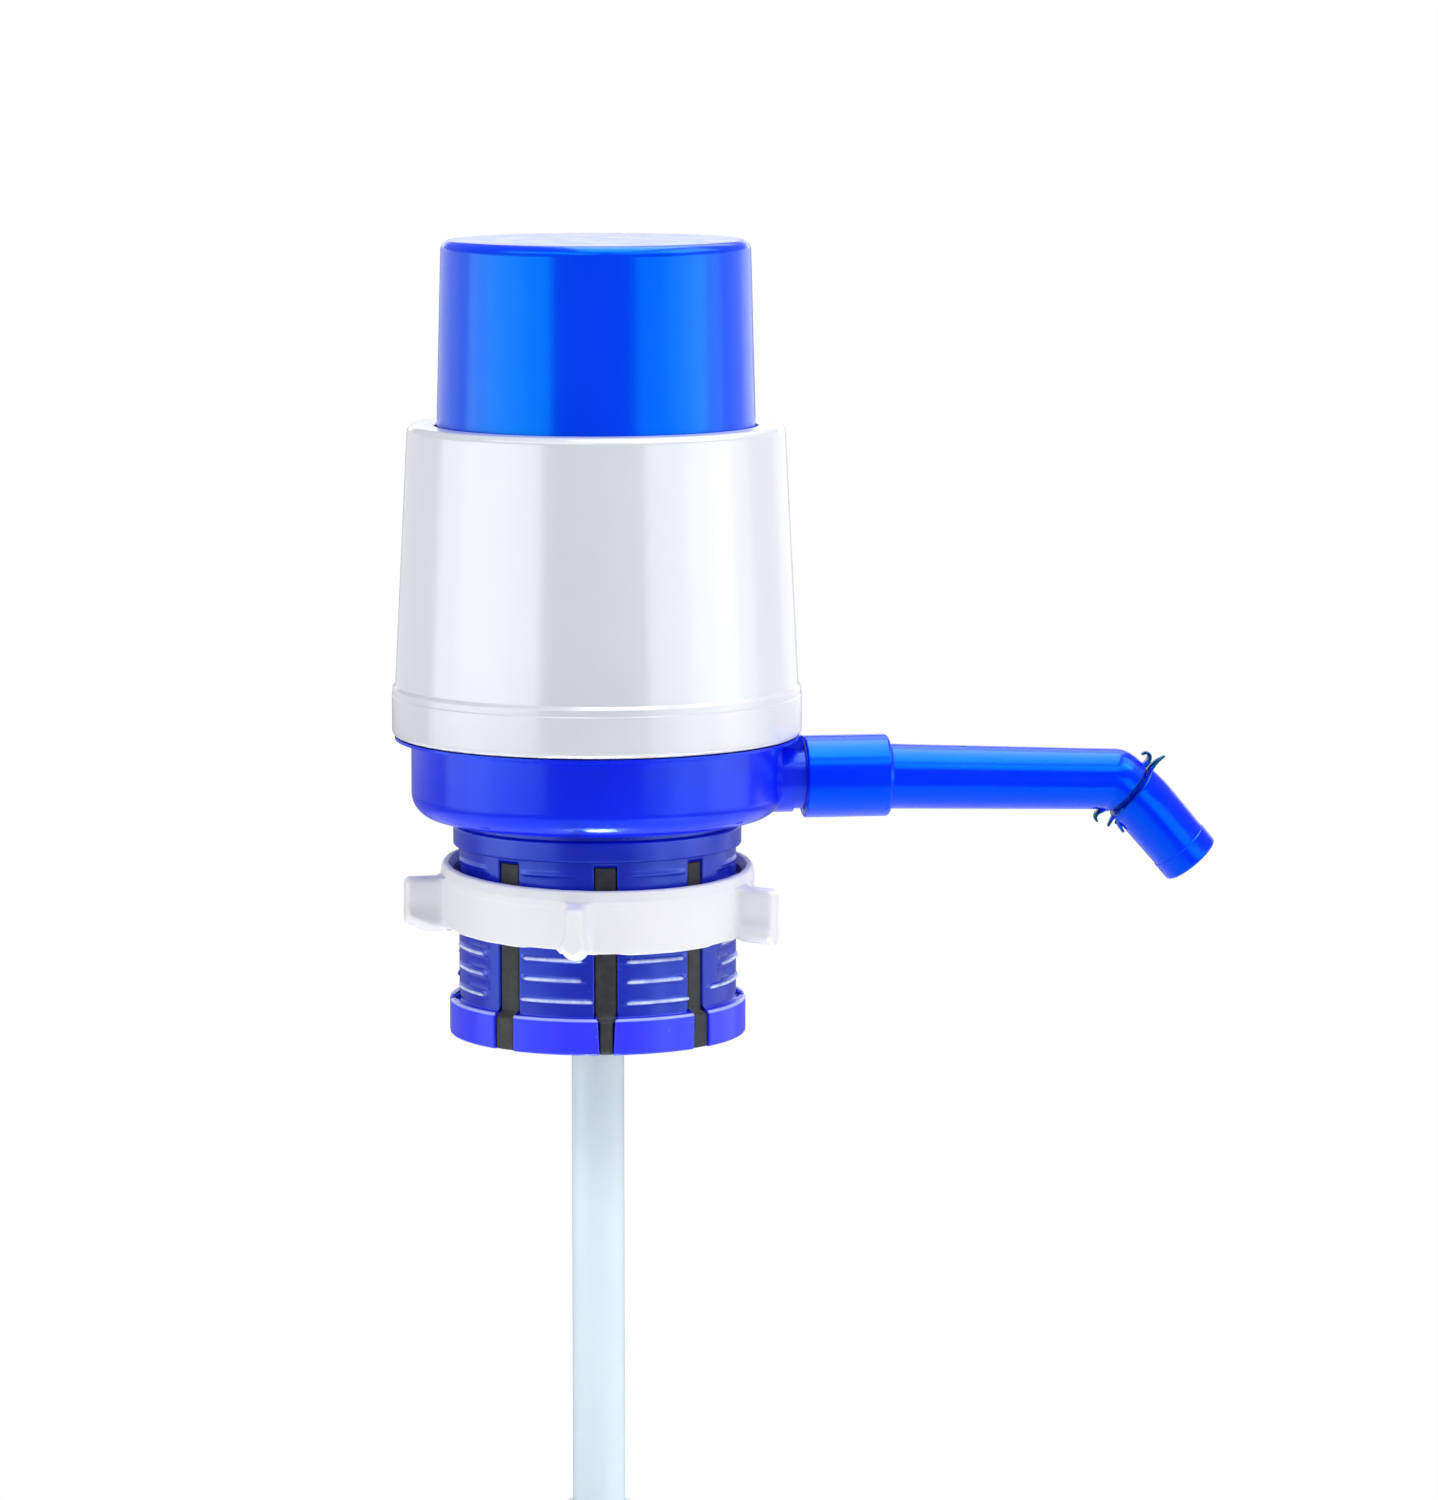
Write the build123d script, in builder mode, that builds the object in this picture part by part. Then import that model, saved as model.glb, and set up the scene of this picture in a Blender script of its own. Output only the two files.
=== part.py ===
from build123d import *
import os
from math import cos, sin, tan, radians, hypot

# Hand pump for a large water bottle.  Millimetres, +Z up.
# Origin: on the pump's axis, in the plane where the gasket rests on the bottle's lip.
# The spout arm points along +X.

# ---------------------------------------------------------------- driving dimensions
# press cap
CAP_TOP_Z = 137.0            # palm face
CAP_TOP_R = 34.9             # outer radius at the palm face
CAP_DRAFT = 1.52             # degrees, wider downwards
CAP_WALL = 2.0
CAP_SKIRT_Z = 80.0           # lower end of the skirt
CAP_STOP_Z0, CAP_STOP_Z1 = 90.6, 93.0   # stop flange under the housing's top
CAP_STOP_R = 39.8
CAP_TRAVEL = 38.0

# outer housing
HSG_BOTTOM_Z, HSG_TOP_Z = 25.15, 95.5
HSG_TOP_R, HSG_FOOT_R = 42.7, 45.8
HSG_BAND_R, HSG_BAND_TOP_Z = 46.5, 36.2
HSG_HOLE_R = 36.5
HSG_TOP_THICK = 2.2
HSG_FOOT_FILLET = 1.2

# base body
BASE_R, BASE_BOTTOM_Z = 42.2, 6.5
BASE_CORNER_R = 5.5
BASE_FLANGE_R, BASE_FLANGE_Z, BASE_RIM_Z = 43.6, 27.1, 35.0
BASE_LIP_R, BASE_LIP_Z0, BASE_LIP_Z1 = 45.9, 24.3, 24.95   # thin lip under the housing's foot
BASE_INNER_R, BASE_LEDGE_Z = 39.5, 29.5
BASE_FLOOR_TOP_Z = 8.9
NECK_BOSS_R, NECK_BOSS_Z, NECK_OPEN_R = 28.8, 2.5, 19.5

# water duct and stub
ARM_Z = 14.3
STUB_R, STUB_END_X = 7.3, 64.5
DUCT_BORE_R = 5.0
SPIGOT_R, SPIGOT_Z = 8.5, -12.0

# claw
CLAW_IN_R, CLAW_OUT_R = 29.0, 31.6
CLAW_RING_R, CLAW_RING_TOP_Z = 32.8, 4.8
CLAW_FLANGE_R, CLAW_FLANGE_TOP_Z, CLAW_END_Z = 33.75, -35.0, -43.2
# slots as (angle, width between the fingers, width through the flange)
CLAW_SLOTS = [(-93.5, 5.2, 3.2), (-52.6, 4.5, 4.8), (-4.0, 5.2, 3.2), (44.0, 4.5, 4.8),
              (86.5, 5.2, 3.2), (127.4, 4.5, 4.8), (176.0, 5.2, 3.2), (224.0, 5.6, 5.4)]
RIB_R, RIB_PITCH, RIB_LAST_Z, RIB_COUNT = 32.3, 4.55, -30.9, 7

# rubber gasket and sleeve
SEAL_IN_R, SEAL_OUT_R, SEAL_END_Z = 27.8, 28.8, -43.7
GASKET_R = 27.7              # the gasket's disc, inside the sleeve's top
BAR_R, BAR_GAP = 30.9, 0.3   # raised bars of the sleeve, one in each slot, and their gap to its sides
BAR_TOP_Z, BAR_STEP_Z, BAR_END_Z = -1.5, -34.4, -43.2

# clamp ring
RING_IN_R, RING_OUT_R = 32.75, 35.8
RING_TOP_Z, RING_BOTTOM_Z = -4.3, -18.5
WINGS, WING_TIP_R, WING_T, WING_ANGLE = 5, 44.5, 5.0, -104.0
WING_TOP_Z, WING_BOTTOM_Z = -6.9, -19.2

# valve plate, bellows, spring
PLATE_Z0, PLATE_Z1, PLATE_R = 30.5, 33.0, 41.3
DISC_Z0, DISC_Z1, DISC_R = 124.0, 126.5, 30.0
BELLOWS_T = 1.4              # rim thickness
BELLOWS_R, BELLOWS_VALLEY_R = 32.6, 26.8
SPRING_R, SPRING_WIRE_R, SPRING_TURNS = 16.5, 0.8, 10
PLATE_SCREW_R, CAP_SCREW_R = 37.6, 24.5

# spout arm and nozzle
COUP_X0, COUP_X1, COUP_R, COUP_BORE_R = 47.3, 67.0, 9.4, 7.4
ARM_SLOPE = 1.8              # degrees below the horizontal
ARM_BEND_X, ARM_BEND_Z = 116.0, 12.45
ARM_BEND_R = 11.4
JOINT_TILT = 40.7            # nozzle's turning axis below the horizontal
NOZZLE_TILT = 49.5           # nozzle's own axis below the horizontal
TUBE_R0, TUBE_R1 = 7.45, 7.0

# dip tube
DIP_R, DIP_BORE_R = 6.0, 4.5
DIP_TOP_Z, DIP_JOINT1_Z, DIP_JOINT2_Z, DIP_END_Z = 3.8, -170.0, -310.0, -448.0

os.makedirs("parts", exist_ok=True)


def near(items, *points):
    """Sketch vertices nearest the given (x, y) points of the sketch."""
    return [min(items, key=lambda v: hypot(v.X - x, v.Y - y)) for x, y in points]


def radial_plane(angle):
    """Plane through the pump's axis: x outwards at the given angle, y up."""
    a = radians(angle)
    return Plane(origin=(0, 0, 0), x_dir=(cos(a), sin(a), 0), z_dir=(sin(a), -cos(a), 0))


def facing_plane(angle):
    """Plane through the pump's axis that faces outwards at the given angle: x sideways, y up."""
    a = radians(angle)
    return Plane(origin=(0, 0, 0), x_dir=(-sin(a), cos(a), 0), z_dir=(cos(a), sin(a), 0))


def cap_r(z):
    return CAP_TOP_R + (CAP_TOP_Z - z) * tan(radians(CAP_DRAFT))


# ---------------------------------------------------------------- press cap
BOSS_Z = DISC_Z1 + BELLOWS_T     # underside of the rib and bosses that hold the bellows' rim
with BuildPart() as press_cap:
    with BuildSketch(Plane.XZ) as s:
        with BuildLine():
            Polyline((0, CAP_TOP_Z), (CAP_TOP_R, CAP_TOP_Z),
                     (cap_r(CAP_STOP_Z1), CAP_STOP_Z1), (CAP_STOP_R, CAP_STOP_Z1),
                     (CAP_STOP_R, CAP_STOP_Z0), (cap_r(CAP_STOP_Z0), CAP_STOP_Z0),
                     (cap_r(CAP_SKIRT_Z), CAP_SKIRT_Z), (cap_r(CAP_SKIRT_Z) - CAP_WALL, CAP_SKIRT_Z),
                     (CAP_TOP_R - CAP_WALL, CAP_TOP_Z - CAP_WALL), (0, CAP_TOP_Z - CAP_WALL), close=True)
        make_face()
        fillet(near(s.vertices(), (CAP_TOP_R, CAP_TOP_Z)), 2.4)
        fillet(near(s.vertices(), (CAP_TOP_R - CAP_WALL, CAP_TOP_Z - CAP_WALL)), 1.0)
        fillet(near(s.vertices(), (CAP_STOP_R, CAP_STOP_Z1), (CAP_STOP_R, CAP_STOP_Z0)), 0.5)
        fillet(near(s.vertices(), (cap_r(CAP_SKIRT_Z), CAP_SKIRT_Z),
                    (cap_r(CAP_SKIRT_Z) - CAP_WALL, CAP_SKIRT_Z)), 0.6)
    revolve(axis=Axis.Z)
    # rib that presses on the bellows' rim, with three air notches
    with BuildSketch(Plane.XY.offset(BOSS_Z)):
        Circle(29.6)
        Circle(28.0, mode=Mode.SUBTRACT)
    extrude(amount=CAP_TOP_Z - CAP_WALL - BOSS_Z + 0.5)
    with BuildSketch(Plane.XY.offset(BOSS_Z)):
        with PolarLocations(28.8, 3, 90):
            Rectangle(4, 7)
    extrude(amount=3.0, mode=Mode.SUBTRACT)
    # three screw bosses tied to the rib
    with BuildSketch(Plane.XY.offset(BOSS_Z)):
        with PolarLocations(CAP_SCREW_R, 3, 30):
            Circle(3.0)
        with PolarLocations(27.2, 3, 30):
            Rectangle(3.0, 1.6)
    extrude(amount=CAP_TOP_Z - CAP_WALL - BOSS_Z + 0.5)
    # stiffening ribs under the palm face
    with BuildSketch(Plane.XY.offset(131.5)):
        with PolarLocations(18.0, 6, 30):
            Rectangle(21.0, 1.4)
    extrude(amount=CAP_TOP_Z - CAP_WALL - 131.5 + 0.5)
    with BuildSketch(Plane.XY.offset(BOSS_Z)):
        with PolarLocations(CAP_SCREW_R, 3, 30):
            Circle(1.45)
    extrude(amount=6.3, mode=Mode.SUBTRACT)
press_cap.part.label = "press_cap"

# ---------------------------------------------------------------- outer housing
with BuildPart() as outer_housing:
    with BuildSketch(Plane.XZ) as s:
        with BuildLine():
            Polyline((HSG_BAND_R, HSG_BOTTOM_Z), (HSG_BAND_R, HSG_BAND_TOP_Z),
                     (HSG_FOOT_R, HSG_BAND_TOP_Z + 0.6), (HSG_TOP_R, HSG_TOP_Z),
                     (HSG_HOLE_R, HSG_TOP_Z), (HSG_HOLE_R, HSG_TOP_Z - HSG_TOP_THICK),
                     (HSG_TOP_R - 2.3, HSG_TOP_Z - HSG_TOP_THICK),
                     (43.0, BASE_RIM_Z + 0.3), (43.8, BASE_RIM_Z + 0.3),
                     (43.8, 27.0), (43.1, 26.6), (43.1, 25.9), (43.5, HSG_BOTTOM_Z), close=True)
        make_face()
        fillet(near(s.vertices(), (HSG_TOP_R, HSG_TOP_Z)), 1.6)
        fillet(near(s.vertices(), (HSG_HOLE_R, HSG_TOP_Z)), 0.6)
        fillet(near(s.vertices(), (HSG_BAND_R, HSG_BAND_TOP_Z)), 0.5)
        fillet(near(s.vertices(), (HSG_BAND_R, HSG_BOTTOM_Z)), HSG_FOOT_FILLET)
        fillet(near(s.vertices(), (HSG_TOP_R - 2.3, HSG_TOP_Z - HSG_TOP_THICK)), 0.8)
    revolve(axis=Axis.Z)
outer_housing.part.label = "outer_housing"

# ---------------------------------------------------------------- base body
DUCT_PLANE = Plane(origin=(0, 0, ARM_Z), x_dir=(0, 1, 0), z_dir=(1, 0, 0))
with BuildPart() as base_body:
    with BuildSketch(Plane.XZ) as s:
        with BuildLine():
            Polyline((NECK_OPEN_R, NECK_BOSS_Z), (NECK_BOSS_R, NECK_BOSS_Z), (NECK_BOSS_R, 3.5),
                     (NECK_BOSS_R + 0.4, 3.8), (NECK_BOSS_R + 0.4, 4.2), (NECK_BOSS_R, 4.5),
                     (NECK_BOSS_R, BASE_BOTTOM_Z), (BASE_R, BASE_BOTTOM_Z), (BASE_R, BASE_LIP_Z0 - 0.7),
                     (BASE_LIP_R, BASE_LIP_Z0), (BASE_LIP_R, BASE_LIP_Z1), (41.8, BASE_LIP_Z1),
                     (41.8, BASE_FLANGE_Z), (BASE_FLANGE_R, BASE_FLANGE_Z),
                     (BASE_FLANGE_R, BASE_RIM_Z), (41.7, BASE_RIM_Z), (41.7, BASE_LEDGE_Z),
                     (BASE_INNER_R, BASE_LEDGE_Z), (BASE_INNER_R, BASE_FLOOR_TOP_Z),
                     (0, BASE_FLOOR_TOP_Z), (0, BASE_BOTTOM_Z), (NECK_OPEN_R, BASE_BOTTOM_Z), close=True)
        make_face()
        fillet(near(s.vertices(), (BASE_R, BASE_BOTTOM_Z)), BASE_CORNER_R)
        fillet(near(s.vertices(), (BASE_INNER_R, BASE_FLOOR_TOP_Z)), 3.2)
        fillet(near(s.vertices(), (BASE_FLANGE_R, BASE_RIM_Z)), 0.6)
    revolve(axis=Axis.Z)
    # air windows in the floor, between four spokes
    with BuildSketch(Plane.XY.offset(BASE_BOTTOM_Z - 0.5)) as s:
        Circle(17.6)
        Circle(10.4, mode=Mode.SUBTRACT)
        with PolarLocations(14.0, 4):
            Rectangle(10.0, 4.0, mode=Mode.SUBTRACT)
    extrude(amount=3.4, mode=Mode.SUBTRACT)
    # central column and radial duct that carries on as the stub
    with BuildSketch(Plane.XY.offset(SPIGOT_Z)):
        Circle(SPIGOT_R)
    extrude(amount=ARM_Z + STUB_R - SPIGOT_Z)
    with BuildSketch(DUCT_PLANE):
        Circle(STUB_R)
    extrude(amount=STUB_END_X)
    # thicker root of the stub
    with BuildSketch(DUCT_PLANE.offset(38.0)):
        Circle(8.0)
    extrude(amount=6.6)
    # four screw bosses
    with BuildSketch(Plane.XY.offset(BASE_FLOOR_TOP_Z - 1.0)):
        with PolarLocations(PLATE_SCREW_R, 4, 45):
            Circle(3.2)
    extrude(amount=BASE_LEDGE_Z - BASE_FLOOR_TOP_Z + 1.0)
    with BuildSketch(Plane.XY.offset(BASE_LEDGE_Z)):
        with PolarLocations(PLATE_SCREW_R, 4, 45):
            Circle(1.45)
    extrude(amount=-8.5, mode=Mode.SUBTRACT)
    # snap bead and O-ring groove of the stub
    with BuildSketch(Plane(origin=(0, 0, ARM_Z), x_dir=(1, 0, 0), z_dir=(0, -1, 0))):
        with BuildLine():
            Polyline((60.6, STUB_R - 0.5), (60.6, STUB_R), (61.1, STUB_R + 0.35), (61.7, STUB_R + 0.35),
                     (62.4, STUB_R), (62.4, STUB_R - 0.5), close=True)
        make_face()
    revolve(axis=Axis(origin=(0, 0, ARM_Z), direction=(1, 0, 0)))
    with BuildSketch(DUCT_PLANE.offset(55.5)):
        Circle(STUB_R + 0.5)
        Circle(STUB_R - 1.3, mode=Mode.SUBTRACT)
    extrude(amount=2.0, mode=Mode.SUBTRACT)
    # water way: tube socket, column bore, duct bore
    with BuildSketch(Plane.XY.offset(SPIGOT_Z)):
        Circle(DIP_R + 0.05)
    extrude(amount=DIP_TOP_Z - SPIGOT_Z + 0.05, mode=Mode.SUBTRACT)
    with BuildSketch(Plane.XY.offset(SPIGOT_Z)):
        Circle(DIP_BORE_R)
    extrude(amount=ARM_Z - SPIGOT_Z, mode=Mode.SUBTRACT)
    with BuildSketch(DUCT_PLANE.offset(-4.5)):
        Circle(DUCT_BORE_R - 0.3)
    extrude(amount=5.0, mode=Mode.SUBTRACT)
    with BuildSketch(DUCT_PLANE):
        Circle(DUCT_BORE_R)
    extrude(amount=STUB_END_X + 1, mode=Mode.SUBTRACT)
base_body.part.label = "base_body"

# ---------------------------------------------------------------- collet claw
# ribs: one saw-tooth profile with its ledge on top, repeated down each of the eight fingers
RIB_WINDOWS = []
for i in range(8):
    a0 = CLAW_SLOTS[i][0] + 7.4
    a1 = CLAW_SLOTS[(i + 1) % 8][0] + (360 if i == 7 else 0) - 7.4
    RIB_WINDOWS.append((a0, a1 - a0))

with BuildPart() as collet_claw:
    with BuildSketch(Plane.XZ) as s:
        with BuildLine():
            Polyline((CLAW_IN_R, CLAW_END_Z), (CLAW_FLANGE_R, CLAW_END_Z), (CLAW_FLANGE_R, CLAW_FLANGE_TOP_Z),
                     (CLAW_OUT_R, CLAW_FLANGE_TOP_Z), (CLAW_OUT_R, 0), (CLAW_RING_R, 0),
                     (CLAW_RING_R, CLAW_RING_TOP_Z), (31.4, CLAW_RING_TOP_Z), (31.4, BASE_BOTTOM_Z),
                     (CLAW_IN_R, BASE_BOTTOM_Z), (CLAW_IN_R, 4.7), (CLAW_IN_R + 0.4, 4.3),
                     (CLAW_IN_R + 0.4, 3.7), (CLAW_IN_R, 3.3), close=True)
        make_face()
        fillet(near(s.vertices(), (CLAW_RING_R, 0)), 1.1)
        fillet(near(s.vertices(), (CLAW_RING_R, CLAW_RING_TOP_Z)), 0.6)
        fillet(near(s.vertices(), (CLAW_FLANGE_R, CLAW_FLANGE_TOP_Z), (CLAW_FLANGE_R, CLAW_END_Z)), 0.5)
    revolve(axis=Axis.Z)
    for start, span in RIB_WINDOWS:
        with BuildSketch(radial_plane(start)):
            for k in range(RIB_COUNT):
                z = RIB_LAST_Z + k * RIB_PITCH
                with BuildLine():
                    Polyline((CLAW_OUT_R - 0.6, z + 0.5), (CLAW_OUT_R, z + 0.5), (RIB_R, z + 0.2),
                             (RIB_R, z - 0.2), (CLAW_OUT_R, z - 1.4), (CLAW_OUT_R - 0.6, z - 1.4), close=True)
                make_face()
        revolve(axis=Axis.Z, revolution_arc=span)
    # slots between the eight fingers: every second one is chamfered and narrow through the flange
    for angle, slot_w, flange_w in CLAW_SLOTS:
        with BuildSketch(facing_plane(angle)):
            with BuildLine():
                Polyline((-slot_w / 2, -0.9), (slot_w / 2, -0.9), (slot_w / 2, CLAW_FLANGE_TOP_Z + 0.3),
                         (flange_w / 2, CLAW_FLANGE_TOP_Z - 1.1), (flange_w / 2, CLAW_END_Z - 1),
                         (-flange_w / 2, CLAW_END_Z - 1), (-flange_w / 2, CLAW_FLANGE_TOP_Z - 1.1),
                         (-slot_w / 2, CLAW_FLANGE_TOP_Z + 0.3), close=True)
            make_face()
        extrude(amount=40, mode=Mode.SUBTRACT)
collet_claw.part.label = "collet_claw"

# ---------------------------------------------------------------- gasket and sleeve on the bottle's neck
with BuildPart() as neck_gasket:
    with BuildSketch(Plane.XY):
        Circle(GASKET_R)
        Circle(NECK_OPEN_R, mode=Mode.SUBTRACT)
    extrude(amount=NECK_BOSS_Z)
neck_gasket.part.label = "neck_gasket"

with BuildPart() as neck_sleeve:
    with BuildSketch(Plane.XY.offset(SEAL_END_Z)):
        Circle(SEAL_OUT_R)
        Circle(SEAL_IN_R, mode=Mode.SUBTRACT)
    extrude(amount=NECK_BOSS_Z - SEAL_END_Z)
neck_sleeve.part.label = "neck_sleeve"

# bars on the sleeve's outside, one in each slot of the claw
with BuildPart() as sleeve_bars:
    for angle, slot_w, flange_w in CLAW_SLOTS:
        w0, w1 = slot_w / 2 - BAR_GAP, flange_w / 2 - BAR_GAP
        with BuildSketch(facing_plane(angle).offset(SEAL_OUT_R - 0.35)):
            with BuildLine():
                Polyline((-w0, BAR_TOP_Z), (w0, BAR_TOP_Z), (w0, BAR_STEP_Z), (w1, BAR_STEP_Z - 1.1),
                         (w1, BAR_END_Z), (-w1, BAR_END_Z), (-w1, BAR_STEP_Z - 1.1), (-w0, BAR_STEP_Z), close=True)
            make_face()
        extrude(amount=BAR_R - SEAL_OUT_R + 0.35)
    with BuildSketch(Plane.XY.offset(SEAL_END_Z)):
        Circle(SEAL_OUT_R)
    extrude(amount=NECK_BOSS_Z - SEAL_END_Z, mode=Mode.SUBTRACT)
sleeve_bars.part.label = "sleeve_bars"

# ---------------------------------------------------------------- clamp ring
# wings: rounded plates, all but one with a slanted lower corner
with BuildPart() as ring_wings:
    with BuildSketch(Plane.XY.offset(WING_BOTTOM_Z)):
        with PolarLocations((WING_TIP_R + RING_OUT_R - 1.6) / 2, WINGS, WING_ANGLE):
            RectangleRounded(WING_TIP_R - RING_OUT_R + 1.6, WING_T, 1.3)
    extrude(amount=WING_TOP_Z - WING_BOTTOM_Z)
    fillet(ring_wings.edges().group_by(Axis.Z)[-1], 0.9)
    with BuildSketch(radial_plane(WING_ANGLE + 108)):
        with BuildLine():
            Polyline((40.4, WING_BOTTOM_Z - 0.1), (46.0, WING_BOTTOM_Z - 0.1), (46.0, WING_BOTTOM_Z + 5.0), close=True)
        make_face()
    revolve(axis=Axis.Z, revolution_arc=288, mode=Mode.SUBTRACT)

with BuildPart() as clamp_ring:
    with BuildSketch(Plane.XZ) as s:
        with BuildLine():
            Polyline((RING_IN_R, RING_BOTTOM_Z), (RING_OUT_R, RING_BOTTOM_Z), (RING_OUT_R, RING_TOP_Z - 2.6),
                     (RING_OUT_R - 0.7, RING_TOP_Z), (RING_IN_R, RING_TOP_Z), close=True)
        make_face()
        fillet(near(s.vertices(), (RING_OUT_R - 0.7, RING_TOP_Z)), 1.3)
        fillet(near(s.vertices(), (RING_IN_R, RING_TOP_Z)), 0.6)
        fillet(near(s.vertices(), (RING_OUT_R, RING_BOTTOM_Z)), 0.8)
    revolve(axis=Axis.Z)
    add(ring_wings.part)
clamp_ring.part.label = "clamp_ring"

# ---------------------------------------------------------------- valve plate and its seal
with BuildPart() as valve_plate:
    with BuildSketch(Plane.XY.offset(PLATE_Z0)):
        Circle(PLATE_R)
    extrude(amount=PLATE_Z1 - PLATE_Z0)
    with BuildSketch(Plane.XY.offset(PLATE_Z1)):
        Circle(19.4)
        Circle(17.9, mode=Mode.SUBTRACT)
    extrude(amount=2.5)
    with BuildSketch(Plane.XY.offset(PLATE_Z0 - 1)):
        Circle(1.35)
        with PolarLocations(6.5, 6):
            Circle(2.1)
        with PolarLocations(PLATE_SCREW_R, 4, 45):
            Circle(1.7)
    extrude(amount=6, mode=Mode.SUBTRACT)
valve_plate.part.label = "valve_plate"

with BuildPart() as plate_seal:
    with BuildSketch(Plane.XY.offset(BASE_LEDGE_Z)):
        Circle(41.4)
        Circle(39.6, mode=Mode.SUBTRACT)
    extrude(amount=PLATE_Z0 - BASE_LEDGE_Z)
plate_seal.part.label = "plate_seal"

# ---------------------------------------------------------------- bellows top disc
with BuildPart() as bellows_top_disc:
    with BuildSketch(Plane.XY.offset(DISC_Z0)):
        Circle(DISC_R)
    extrude(amount=DISC_Z1 - DISC_Z0)
    with BuildSketch(Plane.XY.offset(DISC_Z0 - 2.5)):
        Circle(19.4)
        Circle(17.9, mode=Mode.SUBTRACT)
    extrude(amount=2.5)
    with BuildSketch(Plane.XY.offset(DISC_Z0 - 3)):
        Circle(1.35)
        with PolarLocations(6.5, 6):
            Circle(2.1)
        with PolarLocations(CAP_SCREW_R, 3, 30):
            Circle(1.7)
    extrude(amount=6, mode=Mode.SUBTRACT)
bellows_top_disc.part.label = "bellows_top_disc"

# ---------------------------------------------------------------- bellows
FOLDS = 11
FOLD_Z0, FOLD_Z1 = 37.2, 120.6
BELLOWS_SHIFT = 1.6
outer_line = [(BELLOWS_R, FOLD_Z0)]
step = (FOLD_Z1 - FOLD_Z0) / FOLDS
for k in range(FOLDS):
    outer_line += [(BELLOWS_VALLEY_R, FOLD_Z0 + (k + 0.5) * step), (BELLOWS_R, FOLD_Z0 + (k + 1) * step)]
inner_line = [(r - BELLOWS_SHIFT, z) for r, z in reversed(outer_line)]
with BuildPart() as bellows:
    with BuildSketch(Plane.XZ) as s:
        with BuildLine():
            Polyline((41.2, PLATE_Z1), (41.2, PLATE_Z1 + BELLOWS_T), (BELLOWS_R, PLATE_Z1 + BELLOWS_T), *outer_line,
                     (31.5, 122.4), (31.5, BOSS_Z), (20.0, BOSS_Z), (20.0, DISC_Z1), (30.4, DISC_Z1),
                     (30.4, 122.6), *inner_line, (BELLOWS_R - BELLOWS_SHIFT, PLATE_Z1), close=True)
        make_face()
    revolve(axis=Axis.Z)
    with BuildSketch(Plane.XY.offset(PLATE_Z1 - 1)):
        with PolarLocations(PLATE_SCREW_R, 4, 45):
            Circle(1.7)
    extrude(amount=4, mode=Mode.SUBTRACT)
    with BuildSketch(Plane.XY.offset(DISC_Z1 - 0.5)):
        with PolarLocations(CAP_SCREW_R, 3, 30):
            Circle(1.7)
    extrude(amount=4, mode=Mode.SUBTRACT)
bellows.part.label = "bellows"

# ---------------------------------------------------------------- bellows clamp ring
BCR_Z0 = PLATE_Z1 + BELLOWS_T
BCR_Z1 = BCR_Z0 + 2.4
with BuildPart() as bellows_clamp_ring:
    with BuildSketch(Plane.XY.offset(BCR_Z0)):
        Circle(41.2)
        Circle(34.6, mode=Mode.SUBTRACT)
        with PolarLocations(PLATE_SCREW_R, 4, 45):
            Circle(1.7, mode=Mode.SUBTRACT)
    extrude(amount=BCR_Z1 - BCR_Z0)
    chamfer(bellows_clamp_ring.edges().group_by(Axis.Z)[-1].filter_by(
        lambda e: e.length > 100), 0.6)
bellows_clamp_ring.part.label = "bellows_clamp_ring"

# ---------------------------------------------------------------- screws
with BuildPart() as plate_screws:
    with BuildSketch(Plane.XY.offset(BCR_Z1)):
        with PolarLocations(PLATE_SCREW_R, 4, 45):
            Circle(2.7)
    extrude(amount=2.0)
    fillet(plate_screws.edges().group_by(Axis.Z)[-1], 0.8)
    with BuildSketch(Plane.XY.offset(BCR_Z1)):
        with PolarLocations(PLATE_SCREW_R, 4, 45):
            Circle(1.4)
    extrude(amount=-(BCR_Z1 - 21.5))
    with BuildSketch(Plane.XY.offset(BCR_Z1 + 1.0)):
        with PolarLocations(PLATE_SCREW_R, 4, 45):
            Rectangle(3.0, 0.7)
            Rectangle(0.7, 3.0)
    extrude(amount=2, mode=Mode.SUBTRACT)
plate_screws.part.label = "plate_screws"

with BuildPart() as cap_screws:
    with BuildSketch(Plane.XY.offset(DISC_Z0)):
        with PolarLocations(CAP_SCREW_R, 3, 30):
            Circle(2.7)
    extrude(amount=-2.0)
    fillet(cap_screws.edges().group_by(Axis.Z)[0], 0.8)
    with BuildSketch(Plane.XY.offset(DISC_Z0)):
        with PolarLocations(CAP_SCREW_R, 3, 30):
            Circle(1.4)
    extrude(amount=10.0)
    with BuildSketch(Plane.XY.offset(DISC_Z0 - 1.0)):
        with PolarLocations(CAP_SCREW_R, 3, 30):
            Rectangle(3.0, 0.7)
            Rectangle(0.7, 3.0)
    extrude(amount=-2, mode=Mode.SUBTRACT)
cap_screws.part.label = "cap_screws"

# ---------------------------------------------------------------- mushroom valves
def mushroom(seat_z, plate_top_z):
    """Profile of a mushroom valve: head disc under the seat, stem, retaining bulb."""
    return [(0, seat_z - 1.7), (7.0, seat_z - 1.4), (10.4, seat_z - 0.7), (10.4, seat_z - 0.1), (1.05, seat_z - 0.1),
            (1.05, plate_top_z + 1.15), (2.2, plate_top_z + 1.15), (2.2, plate_top_z + 1.7),
            (1.0, plate_top_z + 3.2), (0, plate_top_z + 3.2)]


with BuildPart() as intake_valve:
    with BuildSketch(Plane.XZ):
        with BuildLine():
            Polyline(*mushroom(DISC_Z0, DISC_Z1), close=True)
        make_face()
    revolve(axis=Axis.Z)
intake_valve.part.label = "intake_valve"

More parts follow.
